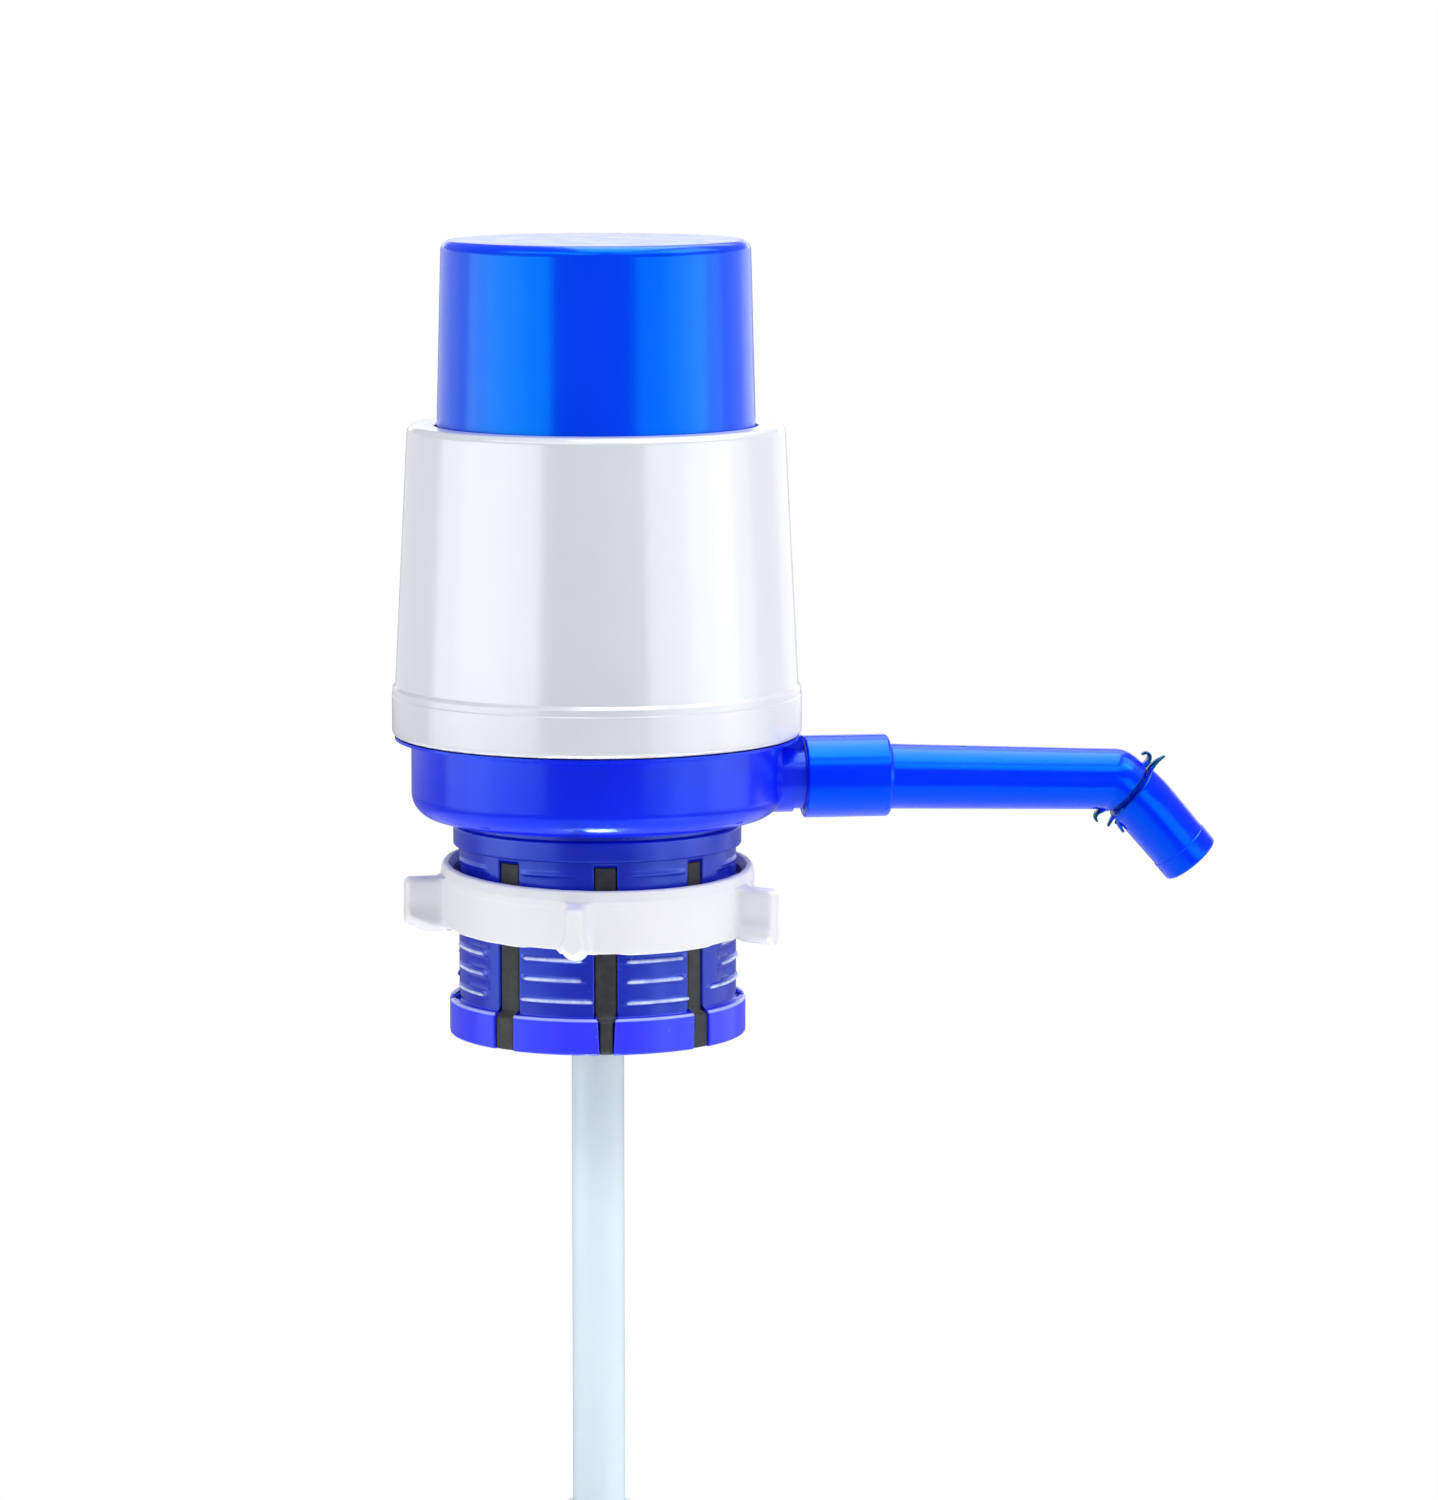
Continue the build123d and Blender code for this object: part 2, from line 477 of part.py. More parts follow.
with BuildPart() as discharge_valve:
    with BuildSketch(Plane.XZ):
        with BuildLine():
            Polyline(*mushroom(PLATE_Z0, PLATE_Z1), close=True)
        make_face()
    revolve(axis=Axis.Z)
discharge_valve.part.label = "discharge_valve"

# ---------------------------------------------------------------- return spring
SPRING_Z0 = PLATE_Z1 + SPRING_WIRE_R + 0.05
SPRING_Z1 = DISC_Z0 - SPRING_WIRE_R - 0.05
with BuildPart() as return_spring:
    with BuildLine(Plane.XY.offset(SPRING_Z0)):
        coil = Helix(pitch=(SPRING_Z1 - SPRING_Z0) / SPRING_TURNS, height=SPRING_Z1 - SPRING_Z0, radius=SPRING_R)
    with BuildSketch(Plane(origin=coil @ 0, z_dir=coil % 0)):
        Circle(SPRING_WIRE_R)
    sweep(path=coil, is_frenet=True)
return_spring.part.label = "return_spring"

# ---------------------------------------------------------------- spout arm
XZ_ARM = Plane(origin=(0, 0, 0), x_dir=(1, 0, 0), z_dir=(0, -1, 0))
ARM_AXIS = Axis(origin=(0, 0, ARM_Z), direction=(1, 0, 0))
slope = radians(ARM_SLOPE)
BEND_CX = ARM_BEND_X - ARM_BEND_R * sin(slope)
BEND_CZ = ARM_BEND_Z - ARM_BEND_R * cos(slope)
BEND_AXIS = Axis(origin=(BEND_CX, 0, BEND_CZ), direction=(0, 1, 0))
bend_turn = JOINT_TILT - ARM_SLOPE
tilt = radians(JOINT_TILT)
JOINT_X = BEND_CX + ARM_BEND_R * sin(tilt)
JOINT_Z = BEND_CZ + ARM_BEND_R * cos(tilt)
TUBE_X0 = 64.6
TUBE_Z0 = ARM_BEND_Z + (ARM_BEND_X - TUBE_X0) * tan(slope)
ARM_START = Plane(origin=(TUBE_X0, 0, TUBE_Z0), x_dir=(0, 1, 0), z_dir=(cos(slope), 0, -sin(slope)))
ARM_END = Plane(origin=(ARM_BEND_X, 0, ARM_BEND_Z), x_dir=(0, 1, 0), z_dir=(cos(slope), 0, -sin(slope)))
JOINT_PLANE = Plane(origin=(JOINT_X, 0, JOINT_Z), x_dir=(0, 1, 0), z_dir=(cos(tilt), 0, -sin(tilt)))


def ear(root_n, root_r, tip_n, tip_r, side):
    """Corners of a small ear in the arm's plane, from the tube's skin to its tip."""
    ux, uz = sin(tilt) * side, cos(tilt) * side
    nx, nz = cos(tilt), -sin(tilt)
    dn, dr = tip_n - root_n, tip_r - root_r
    ln = hypot(dn, dr)
    on, orr = -dr / ln * 0.4, dn / ln * 0.4
    pts = [(root_n + on, root_r + orr), (tip_n + on, tip_r + orr), (tip_n - on, tip_r - orr), (root_n - on, root_r - orr)]
    return [(JOINT_X + n * nx + r * ux, JOINT_Z + n * nz + r * uz) for n, r in pts]


with BuildPart() as spout_arm:
    # coupling over the stub
    with BuildSketch(XZ_ARM) as s:
        with BuildLine():
            Polyline((COUP_X0, ARM_Z), (COUP_X0, ARM_Z + COUP_R), (COUP_X1, ARM_Z + COUP_R),
                     (COUP_X1, ARM_Z), close=True)
        make_face()
        fillet(near(s.vertices(), (COUP_X1, ARM_Z + COUP_R)), 1.9)
        fillet(near(s.vertices(), (COUP_X0, ARM_Z + COUP_R)), 0.5)
    revolve(axis=ARM_AXIS)
    # tapering tube
    with BuildSketch(ARM_START):
        Circle(TUBE_R0)
    with BuildSketch(ARM_END):
        Circle(TUBE_R1)
    loft()
    # bend
    with BuildSketch(ARM_END):
        Circle(TUBE_R1)
    revolve(axis=BEND_AXIS, revolution_arc=bend_turn)
    # spigot that the nozzle turns on, with its snap bead
    with BuildSketch(JOINT_PLANE.offset(-0.6)):
        Circle(5.6)
    extrude(amount=4.3)
    with BuildSketch(JOINT_PLANE.offset(2.3)):
        Circle(5.85)
    extrude(amount=0.6)
    # ears on the tube's end
    with BuildSketch(XZ_ARM):
        with BuildLine():
            Polyline(*ear(-0.7, 6.3, -2.3, 8.4, 1), close=True)
        make_face()
    extrude(amount=2.0, both=True)
    with BuildSketch(XZ_ARM):
        with BuildLine():
            Polyline(*ear(-0.6, 6.3, -1.4, 9.9, -1), close=True)
        make_face()
    extrude(amount=2.0, both=True)
    # coupling bore and groove
    with BuildSketch(DUCT_PLANE.offset(COUP_X0 - 1)):
        Circle(COUP_BORE_R)
    extrude(amount=STUB_END_X + 0.4 - COUP_X0 + 1, mode=Mode.SUBTRACT)
    with BuildSketch(DUCT_PLANE.offset(60.3)):
        Circle(COUP_BORE_R + 0.4)
    extrude(amount=2.4, mode=Mode.SUBTRACT)
    # water way
    with BuildSketch(ARM_START.offset(-1.2)):
        Circle(5.8)
    with BuildSketch(ARM_END.offset(-2.0)):
        Circle(5.4)
    loft(mode=Mode.SUBTRACT)
    with BuildSketch(ARM_END.offset(-2.5)):
        Circle(4.8)
    extrude(amount=2.5, mode=Mode.SUBTRACT)
    with BuildSketch(ARM_END):
        Circle(4.8)
    revolve(axis=BEND_AXIS, revolution_arc=bend_turn, mode=Mode.SUBTRACT)
    with BuildSketch(JOINT_PLANE.offset(-1.5)):
        Circle(4.4)
    extrude(amount=8.0, mode=Mode.SUBTRACT)
spout_arm.part.label = "spout_arm"

# ---------------------------------------------------------------- spout O-ring
with BuildPart() as spout_o_ring:
    with BuildSketch(XZ_ARM):
        with Locations((56.5, ARM_Z + 6.66)):
            Circle(0.65)
    revolve(axis=ARM_AXIS)
spout_o_ring.part.label = "spout_o_ring"

# ---------------------------------------------------------------- nozzle
# socket straight on the joint's axis, a slight turn, then the straight outlet
n_turn = NOZZLE_TILT - JOINT_TILT
CORNER_L, NOZZLE_L = 4.83, 17.5
N_BEND_R = 12.0
n_tan = N_BEND_R * tan(radians(n_turn / 2))
NB_PLANE = JOINT_PLANE.offset(CORNER_L - n_tan)
NB_C = NB_PLANE.origin + Vector(-sin(tilt), 0, -cos(tilt)) * N_BEND_R
NB_AXIS = Axis(origin=NB_C, direction=(0, 1, 0))
ntilt = radians(NOZZLE_TILT)
CORNER = JOINT_PLANE.origin + JOINT_PLANE.z_dir * CORNER_L
N_DIR = Vector(cos(ntilt), 0, -sin(ntilt))
OUT_PLANE = Plane(origin=CORNER + N_DIR * n_tan, x_dir=(0, 1, 0), z_dir=N_DIR)
OUT_L = NOZZLE_L - n_tan
NOZZLE_R, NOZZLE_BORE_R = 6.9, 5.7
with BuildPart() as nozzle:
    with BuildSketch(JOINT_PLANE.offset(0.15)):
        Circle(NOZZLE_R)
    extrude(amount=CORNER_L - n_tan - 0.15)
    with BuildSketch(NB_PLANE):
        Circle(NOZZLE_R)
    revolve(axis=NB_AXIS, revolution_arc=n_turn)
    with BuildSketch(OUT_PLANE):
        Circle(NOZZLE_R)
    extrude(amount=OUT_L)
    # collar at the outlet
    with BuildSketch(OUT_PLANE.offset(OUT_L - 4.6)):
        Circle(NOZZLE_R + 0.2)
    extrude(amount=4.6)
    fillet(nozzle.edges().filter_by(GeomType.CIRCLE).sort_by(Axis(origin=(0, 0, 0), direction=tuple(N_DIR)))[-1:], 0.5)
    # ears on the nozzle's end
    with BuildSketch(XZ_ARM):
        with BuildLine():
            Polyline(*ear(0.7, 6.3, 1.9, 11.3, 1), close=True)
        make_face()
    extrude(amount=2.0, both=True)
    with BuildSketch(XZ_ARM):
        with BuildLine():
            Polyline(*ear(1.4, 6.2, 5.0, 8.2, -1), close=True)
        make_face()
    extrude(amount=2.0, both=True)
    # socket over the spigot, groove, bore
    with BuildSketch(JOINT_PLANE):
        Circle(NOZZLE_BORE_R)
    extrude(amount=CORNER_L - n_tan, mode=Mode.SUBTRACT)
    with BuildSketch(JOINT_PLANE.offset(2.1)):
        Circle(6.0)
    extrude(amount=1.0, mode=Mode.SUBTRACT)
    with BuildSketch(NB_PLANE):
        Circle(NOZZLE_BORE_R)
    revolve(axis=NB_AXIS, revolution_arc=n_turn, mode=Mode.SUBTRACT)
    with BuildSketch(OUT_PLANE):
        Circle(NOZZLE_BORE_R)
    extrude(amount=OUT_L + 2, mode=Mode.SUBTRACT)
nozzle.part.label = "nozzle"

# ---------------------------------------------------------------- dip tube and its sleeves
def tube_length(z_top, z_bottom, notch):
    with BuildPart() as t:
        with BuildSketch(Plane.XY.offset(z_bottom)):
            Circle(DIP_R)
            Circle(DIP_BORE_R, mode=Mode.SUBTRACT)
        extrude(amount=z_top - z_bottom)
        if notch:
            with BuildSketch(Plane.XZ):
                with BuildLine():
                    Polyline((-3.0, z_bottom - 1), (3.0, z_bottom - 1), (3.0, z_bottom), (0, z_bottom + 4.0),
                             (-3.0, z_bottom), close=True)
                make_face()
            extrude(amount=10, both=True, mode=Mode.SUBTRACT)
    return t


dip_tube_upper = tube_length(DIP_TOP_Z, DIP_JOINT1_Z + 0.2, False)
dip_tube_upper.part.label = "dip_tube_upper"
dip_tube_middle = tube_length(DIP_JOINT1_Z - 0.2, DIP_JOINT2_Z + 0.2, False)
dip_tube_middle.part.label = "dip_tube_middle"
dip_tube_lower = tube_length(DIP_JOINT2_Z - 0.2, DIP_END_Z, True)
dip_tube_lower.part.label = "dip_tube_lower"


def tube_sleeve(z):
    with BuildPart() as t:
        with BuildSketch(Plane.XZ) as s:
            with BuildLine():
                Polyline((DIP_R + 0.03, z - 16), (8.0, z - 16), (8.0, z + 16), (DIP_R + 0.03, z + 16), close=True)
            make_face()
            fillet(near(s.vertices(), (8.0, z - 16), (8.0, z + 16)), 0.7)
        revolve(axis=Axis.Z)
    return t


tube_connector_upper = tube_sleeve(DIP_JOINT1_Z)
tube_connector_upper.part.label = "tube_connector_upper"
tube_connector_lower = tube_sleeve(DIP_JOINT2_Z)
tube_connector_lower.part.label = "tube_connector_lower"

# ---------------------------------------------------------------- files
export_step(press_cap.part, "parts/press_cap.step")
export_step(outer_housing.part, "parts/outer_housing.step")
export_step(base_body.part, "parts/base_body.step")
export_step(collet_claw.part, "parts/collet_claw.step")
export_step(neck_gasket.part, "parts/neck_gasket.step")
export_step(neck_sleeve.part, "parts/neck_sleeve.step")
export_step(sleeve_bars.part, "parts/sleeve_bars.step")
export_step(clamp_ring.part, "parts/clamp_ring.step")
export_step(valve_plate.part, "parts/valve_plate.step")
export_step(plate_seal.part, "parts/plate_seal.step")
export_step(bellows_top_disc.part, "parts/bellows_top_disc.step")
export_step(bellows.part, "parts/bellows.step")
export_step(bellows_clamp_ring.part, "parts/bellows_clamp_ring.step")
export_step(plate_screws.part, "parts/plate_screws.step")
export_step(cap_screws.part, "parts/cap_screws.step")
export_step(intake_valve.part, "parts/intake_valve.step")
export_step(discharge_valve.part, "parts/discharge_valve.step")
export_step(return_spring.part, "parts/return_spring.step")
export_step(spout_arm.part, "parts/spout_arm.step")
export_step(spout_o_ring.part, "parts/spout_o_ring.step")
export_step(nozzle.part, "parts/nozzle.step")
export_step(dip_tube_upper.part, "parts/dip_tube_upper.step")
export_step(dip_tube_middle.part, "parts/dip_tube_middle.step")
export_step(dip_tube_lower.part, "parts/dip_tube_lower.step")
export_step(tube_connector_upper.part, "parts/tube_connector_upper.step")
export_step(tube_connector_lower.part, "parts/tube_connector_lower.step")

print("joint", JOINT_X, JOINT_Z, "nozzle tip", OUT_PLANE.origin + N_DIR * OUT_L)
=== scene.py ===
import bpy, bmesh, math
import numpy as np
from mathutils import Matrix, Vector


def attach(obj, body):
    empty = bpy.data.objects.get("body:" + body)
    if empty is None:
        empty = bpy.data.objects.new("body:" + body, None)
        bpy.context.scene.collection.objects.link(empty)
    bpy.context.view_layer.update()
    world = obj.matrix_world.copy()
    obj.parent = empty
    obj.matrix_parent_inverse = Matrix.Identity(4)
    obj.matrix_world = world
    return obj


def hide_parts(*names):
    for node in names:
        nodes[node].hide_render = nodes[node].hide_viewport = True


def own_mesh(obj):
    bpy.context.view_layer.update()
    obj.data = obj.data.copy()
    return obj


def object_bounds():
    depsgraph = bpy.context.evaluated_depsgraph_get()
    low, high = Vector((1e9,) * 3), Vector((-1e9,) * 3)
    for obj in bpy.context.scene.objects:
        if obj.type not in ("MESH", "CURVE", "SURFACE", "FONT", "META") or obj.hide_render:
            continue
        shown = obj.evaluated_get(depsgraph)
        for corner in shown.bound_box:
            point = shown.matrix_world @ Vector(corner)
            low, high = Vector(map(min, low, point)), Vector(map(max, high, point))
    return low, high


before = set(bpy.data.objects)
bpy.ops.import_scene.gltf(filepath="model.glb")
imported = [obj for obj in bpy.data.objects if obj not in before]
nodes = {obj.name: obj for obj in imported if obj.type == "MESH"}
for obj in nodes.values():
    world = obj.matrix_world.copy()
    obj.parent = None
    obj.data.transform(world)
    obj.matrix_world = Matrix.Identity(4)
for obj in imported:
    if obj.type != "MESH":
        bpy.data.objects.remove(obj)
cad_lo, cad_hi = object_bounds()
scene = bpy.context.scene
MM = 0.001
rad = math.radians


# ---------------------------------------------------------------- camera and light
VIEW_A = rad(8.0)        # the spout arm points 8 degrees away from the camera
PITCH = rad(7.5)


def cam_side(x, y, z):
    """A point given by camera-right, away from the camera and up, in mm, as a point of the row frame."""
    c, s = math.cos(VIEW_A), math.sin(VIEW_A)
    return Vector((x * c + y * s, -x * s + y * c, z)) * MM


def look_at(obj, target):
    obj.rotation_mode = "QUATERNION"
    obj.rotation_quaternion = (target - obj.location).to_track_quat("-Z", "Y")


cam_data = bpy.data.cameras.new("camera")
cam = bpy.data.objects.new("camera", cam_data)
scene.collection.objects.link(cam)
cam.location = cam_side(27.7, -1363.6 * math.cos(PITCH), 21.24 + 1363.6 * math.sin(PITCH))
look_at(cam, cam_side(27.7, 0, 21.24))
cam_data.lens, cam_data.sensor_width = 144.0, 36.0
cam_data.clip_start, cam_data.clip_end = 0.01, 60
scene.camera = cam
scene.view_settings.view_transform = "Standard"


def softbox(name, azimuth, elevation, dist, w, h, radiance, colour=(1, 1, 1), target=(0, 0, 20)):
    """An area light seen from the target at that azimuth (0 = the camera's side, + to the right) and elevation."""
    data = bpy.data.lights.new(name, "AREA")
    data.shape, data.size, data.size_y = "RECTANGLE", w, h
    data.color = colour
    data.energy = radiance * math.pi * w * h
    obj = bpy.data.objects.new(name, data)
    scene.collection.objects.link(obj)
    a, e = rad(azimuth), rad(elevation)
    t = cam_side(*target)
    obj.location = t + cam_side(1000 * dist * math.sin(a) * math.cos(e), -1000 * dist * math.cos(a) * math.cos(e),
                                1000 * dist * math.sin(e))
    look_at(obj, t)
    obj.visible_camera = False
    return obj


def panel(name, az0, az1, z0, z1, radiance, dist=1.3):
    """An upright area light between two azimuths (0 = the camera's side, + to the right) and two heights in mm."""
    half = (az1 - az0) / 2
    softbox(name, (az0 + az1) / 2, 0, dist, 2 * dist * math.tan(rad(half)), (z1 - z0) * MM, radiance, target=(0, 0, (z0 + z1) / 2))


for a0, a1, level in ((-165, -104, 0.6), (-104, -85, 2.1), (-85, -50, 2.7), (-50, -31, 2.35), (30, 55, 1.65),
                      (55, 72, 2.35), (72, 88, 2.8), (88, 104, 1.5), (104, 135, 0.55), (135, 165, 1.0)):
    panel("upper_%d" % a0, a0, a1, -142, 300, level)
for a0, a1, level in ((-104, -86, 0.65), (-86, -66, 1.1), (-66, -45, 0.4), (46, 60, 1.2), (60, 74, 0.45), (74, 100, 0.9), (100, 135, 0.6)):
    panel("lower_%d" % a0, a0, a1, -360, -142, level)
panel("back_top", 158, 202, 190, 400, 1.5)
softbox("top_front", 0, 53, 1.2, 0.7, 0.38, 1.0, target=(200, 0, 20))
softbox("top_middle", 180, 86.5, 1.2, 0.7, 1.44, 4.0, target=(200, 0, 20))
softbox("top_back", 180, 43, 1.2, 0.7, 0.5, 1.5, target=(200, 0, 20))
softbox("high_left", -39, 44, 1.3, 1.5, 0.39, 2.4)
softbox("high_right", 54, 44, 1.3, 1.1, 0.39, 2.2)
softbox("low_front", -4, -83, 0.4, 0.10, 0.05, 1.7, target=(-2, -40, 5)).data.spread = rad(24)
softbox("low_right", 50, -40, 0.8, 0.5, 0.4, 1.0)
softbox("top_right", 90, 50, 1.2, 0.9, 0.6, 2.4, target=(120, 0, 20))

world = bpy.data.worlds.new("studio")
scene.world = world
world.use_nodes = True
wt = world.node_tree
wt.nodes.clear()
out = wt.nodes.new("ShaderNodeOutputWorld")
mix = wt.nodes.new("ShaderNodeMixShader")
path = wt.nodes.new("ShaderNodeLightPath")
seen = wt.nodes.new("ShaderNodeBackground")
lit = wt.nodes.new("ShaderNodeBackground")
seen.inputs["Color"].default_value = (1, 1, 1, 1)
lit.inputs["Color"].default_value = (0.95, 0.975, 1, 1)
lit.inputs["Strength"].default_value = 0.33
wt.links.new(path.outputs["Is Camera Ray"], mix.inputs[0])
wt.links.new(lit.outputs[0], mix.inputs[1])
wt.links.new(seen.outputs[0], mix.inputs[2])
wt.links.new(mix.outputs[0], out.inputs[0])


# ---------------------------------------------------------------- materials
class Shader:
    """A Principled material whose colour, roughness and surface come from noise in the piece's own coordinates."""

    def __init__(self, name):
        self.m = bpy.data.materials.new(name)
        self.m.use_nodes = True
        self.t = self.m.node_tree
        self.b = self.t.nodes["Principled BSDF"]
        self.co = self.t.nodes.new("ShaderNodeTexCoord").outputs["Object"]

    def noise(self, scale, detail=2.0, rough=0.5, stretch=(1, 1, 1)):
        n = self.t.nodes.new("ShaderNodeTexNoise")
        n.inputs["Scale"].default_value = scale
        n.inputs["Detail"].default_value = detail
        n.inputs["Roughness"].default_value = rough
        if stretch == (1, 1, 1):
            self.t.links.new(self.co, n.inputs["Vector"])
        else:
            mp = self.t.nodes.new("ShaderNodeMapping")
            mp.inputs["Scale"].default_value = stretch
            self.t.links.new(self.co, mp.inputs["Vector"])
            self.t.links.new(mp.outputs[0], n.inputs["Vector"])
        return n.outputs["Fac"]

    def ramp(self, value, lo, hi, a=0.3, b=0.7):
        r = self.t.nodes.new("ShaderNodeMapRange")
        r.inputs["From Min"].default_value, r.inputs["From Max"].default_value = a, b
        r.inputs["To Min"].default_value, r.inputs["To Max"].default_value = lo, hi
        self.t.links.new(value, r.inputs["Value"])
        return r.outputs[0]

    def mix(self, fac, a, b):
        x = self.t.nodes.new("ShaderNodeMix")
        x.data_type = "RGBA"
        self.t.links.new(fac, x.inputs["Factor"])
        for socket, c in ((x.inputs["A"], a), (x.inputs["B"], b)):
            if isinstance(c, tuple):
                socket.default_value = (*c, 1)
            else:
                self.t.links.new(c, socket)
        return x.outputs["Result"]

    def bump(self, height, distance, strength=1.0, after=None):
        n = self.t.nodes.new("ShaderNodeBump")
        n.inputs["Distance"].default_value = distance
        n.inputs["Strength"].default_value = strength
        self.t.links.new(height, n.inputs["Height"])
        if after is not None:
            self.t.links.new(after, n.inputs["Normal"])
        return n.outputs["Normal"]

    def set(self, socket, value):
        s = self.b.inputs[socket]
        if hasattr(value, "is_linked") or hasattr(value, "links"):
            self.t.links.new(value, s)
        elif isinstance(value, tuple):
            s.default_value = (*value, 1)
        else:
            s.default_value = value


def moulded(name, colour, rough, shift=0.06, spec=0.5, tint=(1, 1, 1), ior=1.5, grain=900, grain_d=6e-6, wave_d=2.5e-5, subsurface=None):
    """Injection-moulded plastic: faint flow mottle, uneven gloss, and an orange-peel surface."""
    s = Shader(name)
    flow = s.noise(38, 3, 0.55, (1, 1, 0.45))
    dark, light = tuple(c * (1 - shift) for c in colour), tuple(min(1.0, c * (1 + shift) + 0.002) for c in colour)
    s.set("Base Color", s.mix(s.ramp(flow, 0, 1), dark, light))
    s.set("Roughness", s.ramp(s.noise(150, 4, 0.6), rough * 0.86, rough * 1.16))
    peel = s.bump(s.noise(70, 1, 0.4), wave_d, 0.6)
    s.set("Normal", s.bump(s.noise(grain, 2, 0.5), grain_d, 0.7, peel))
    s.set("Specular IOR Level", spec)
    s.set("Specular Tint", tint)
    s.set("IOR", ior)
    if subsurface:
        s.set("Subsurface Weight", subsurface)
        s.b.inputs["Subsurface Radius"].default_value = (0.6, 0.8, 1.0)
        s.b.inputs["Subsurface Scale"].default_value = 0.002
    return s.m


def claw_plastic(name, foot, colour, neck, painted_highlight_colour, rough):
    """Moulded plastic with painted shade and painted highlights: the fingers and the neck are coloured darker than the
    flange, as painted shade under the clamp ring and the base, and the rib crests and the flange's top edge carry a
    pale painted highlight.
    """
    s = Shader(name)
    xyz = s.t.nodes.new("ShaderNodeSeparateXYZ")
    s.t.links.new(s.co, xyz.inputs[0])
    flat = s.t.nodes.new("ShaderNodeVectorMath")
    flat.operation = "MULTIPLY"
    flat.inputs[1].default_value = (1, 1, 0)
    s.t.links.new(s.co, flat.inputs[0])
    length = s.t.nodes.new("ShaderNodeVectorMath")
    length.operation = "LENGTH"
    s.t.links.new(flat.outputs[0], length.inputs[0])

    def times(a, b):
        m = s.t.nodes.new("ShaderNodeMath")
        m.operation = "MULTIPLY"
        s.t.links.new(a, m.inputs[0])
        s.t.links.new(b, m.inputs[1])
        return m.outputs[0]

    flow = s.ramp(s.noise(38, 3, 0.55, (1, 1, 0.45)), 0, 1)
    # painted shade: the fingers' colour is darker than the flange's foot colour and stands in for the shade under the
    # clamp ring
    body = s.mix(flow, tuple(c * 0.93 for c in colour), tuple(min(1.0, c * 1.06 + 0.002) for c in colour))
    # painted shade: the neck colour above the fingers stands in for the shade under the base
    body = s.mix(s.ramp(xyz.outputs[2], 0, 1, -0.012, -0.003), body, neck)
    body = s.mix(s.ramp(xyz.outputs[2], 1, 0, -0.0352, -0.0347), body, foot)
    # painted highlight: the raised rib crests are painted pale, unevenly along their length
    crest = times(s.ramp(length.outputs["Value"], 0, 1, 0.0318, 0.03205), s.ramp(xyz.outputs[2], 1, 0, -0.0022, -0.0012))
    crest = times(crest, s.ramp(xyz.outputs[2], 0, 1, -0.0345, -0.0338))
    crest_highlight = times(crest, s.ramp(s.noise(260, 3, 0.6, (1, 1, 0.5)), 0.55, 1.0, 0.35, 0.6))
    # painted highlight: a pale line painted along the flange's top edge
    rim = times(s.ramp(length.outputs["Value"], 0, 1, 0.0331, 0.0333), s.ramp(xyz.outputs[2], 0, 0.5, -0.0357, -0.0354))
    both = s.t.nodes.new("ShaderNodeMath")
    both.operation = "MAXIMUM"
    s.t.links.new(crest_highlight, both.inputs[0])
    s.t.links.new(rim, both.inputs[1])
    # the pale painted highlight colour is mixed in on the rib crests and the flange's top edge
    s.set("Base Color", s.mix(both.outputs[0], body, painted_highlight_colour))
    s.set("Roughness", s.ramp(s.noise(150, 4, 0.6), rough * 0.86, rough * 1.16))
    s.set("Normal", s.bump(s.noise(900, 2, 0.5), 6e-6, 0.7, s.bump(s.noise(70, 1, 0.4), 2.5e-5, 0.6)))
    s.set("Specular IOR Level", 1.0)
    s.set("Specular Tint", (0.3, 0.5, 1.0))
    s.set("IOR", 1.6)
    return s.m


def rubber(name, colour, rough):
    """Soft rubber: a dry, speckled, slightly wrinkled skin."""
    s = Shader(name)
    dust = s.ramp(s.noise(420, 4, 0.65), 0, 1, 0.45, 0.8)
    s.set("Base Color", s.mix(dust, colour, tuple(c * 1.7 + 0.006 for c in colour)))
    s.set("Roughness", s.ramp(s.noise(110, 3, 0.6), rough * 0.85, min(1.0, rough * 1.2)))
    s.set("Normal", s.bump(s.noise(1500, 3, 0.6), 2e-5, 0.8, s.bump(s.noise(160, 2, 0.5), 5e-5, 0.5)))
    s.set("Specular IOR Level", 0.4)
    return s.m


def drawn_steel(name, colour, rough, stretch):
    """Metal with fine drawing or turning lines along one direction."""
    s = Shader(name)
    lines = s.noise(900, 3, 0.6, stretch)
    s.set("Metallic", 1.0)
    s.set("Base Color", s.mix(s.ramp(s.noise(70, 3, 0.6), 0, 1), tuple(c * 0.9 for c in colour), tuple(min(1, c * 1.08) for c in colour)))
    s.set("Roughness", s.ramp(lines, rough * 0.7, rough * 1.5))
    s.set("Normal", s.bump(lines, 8e-6, 0.6))
    return s.m


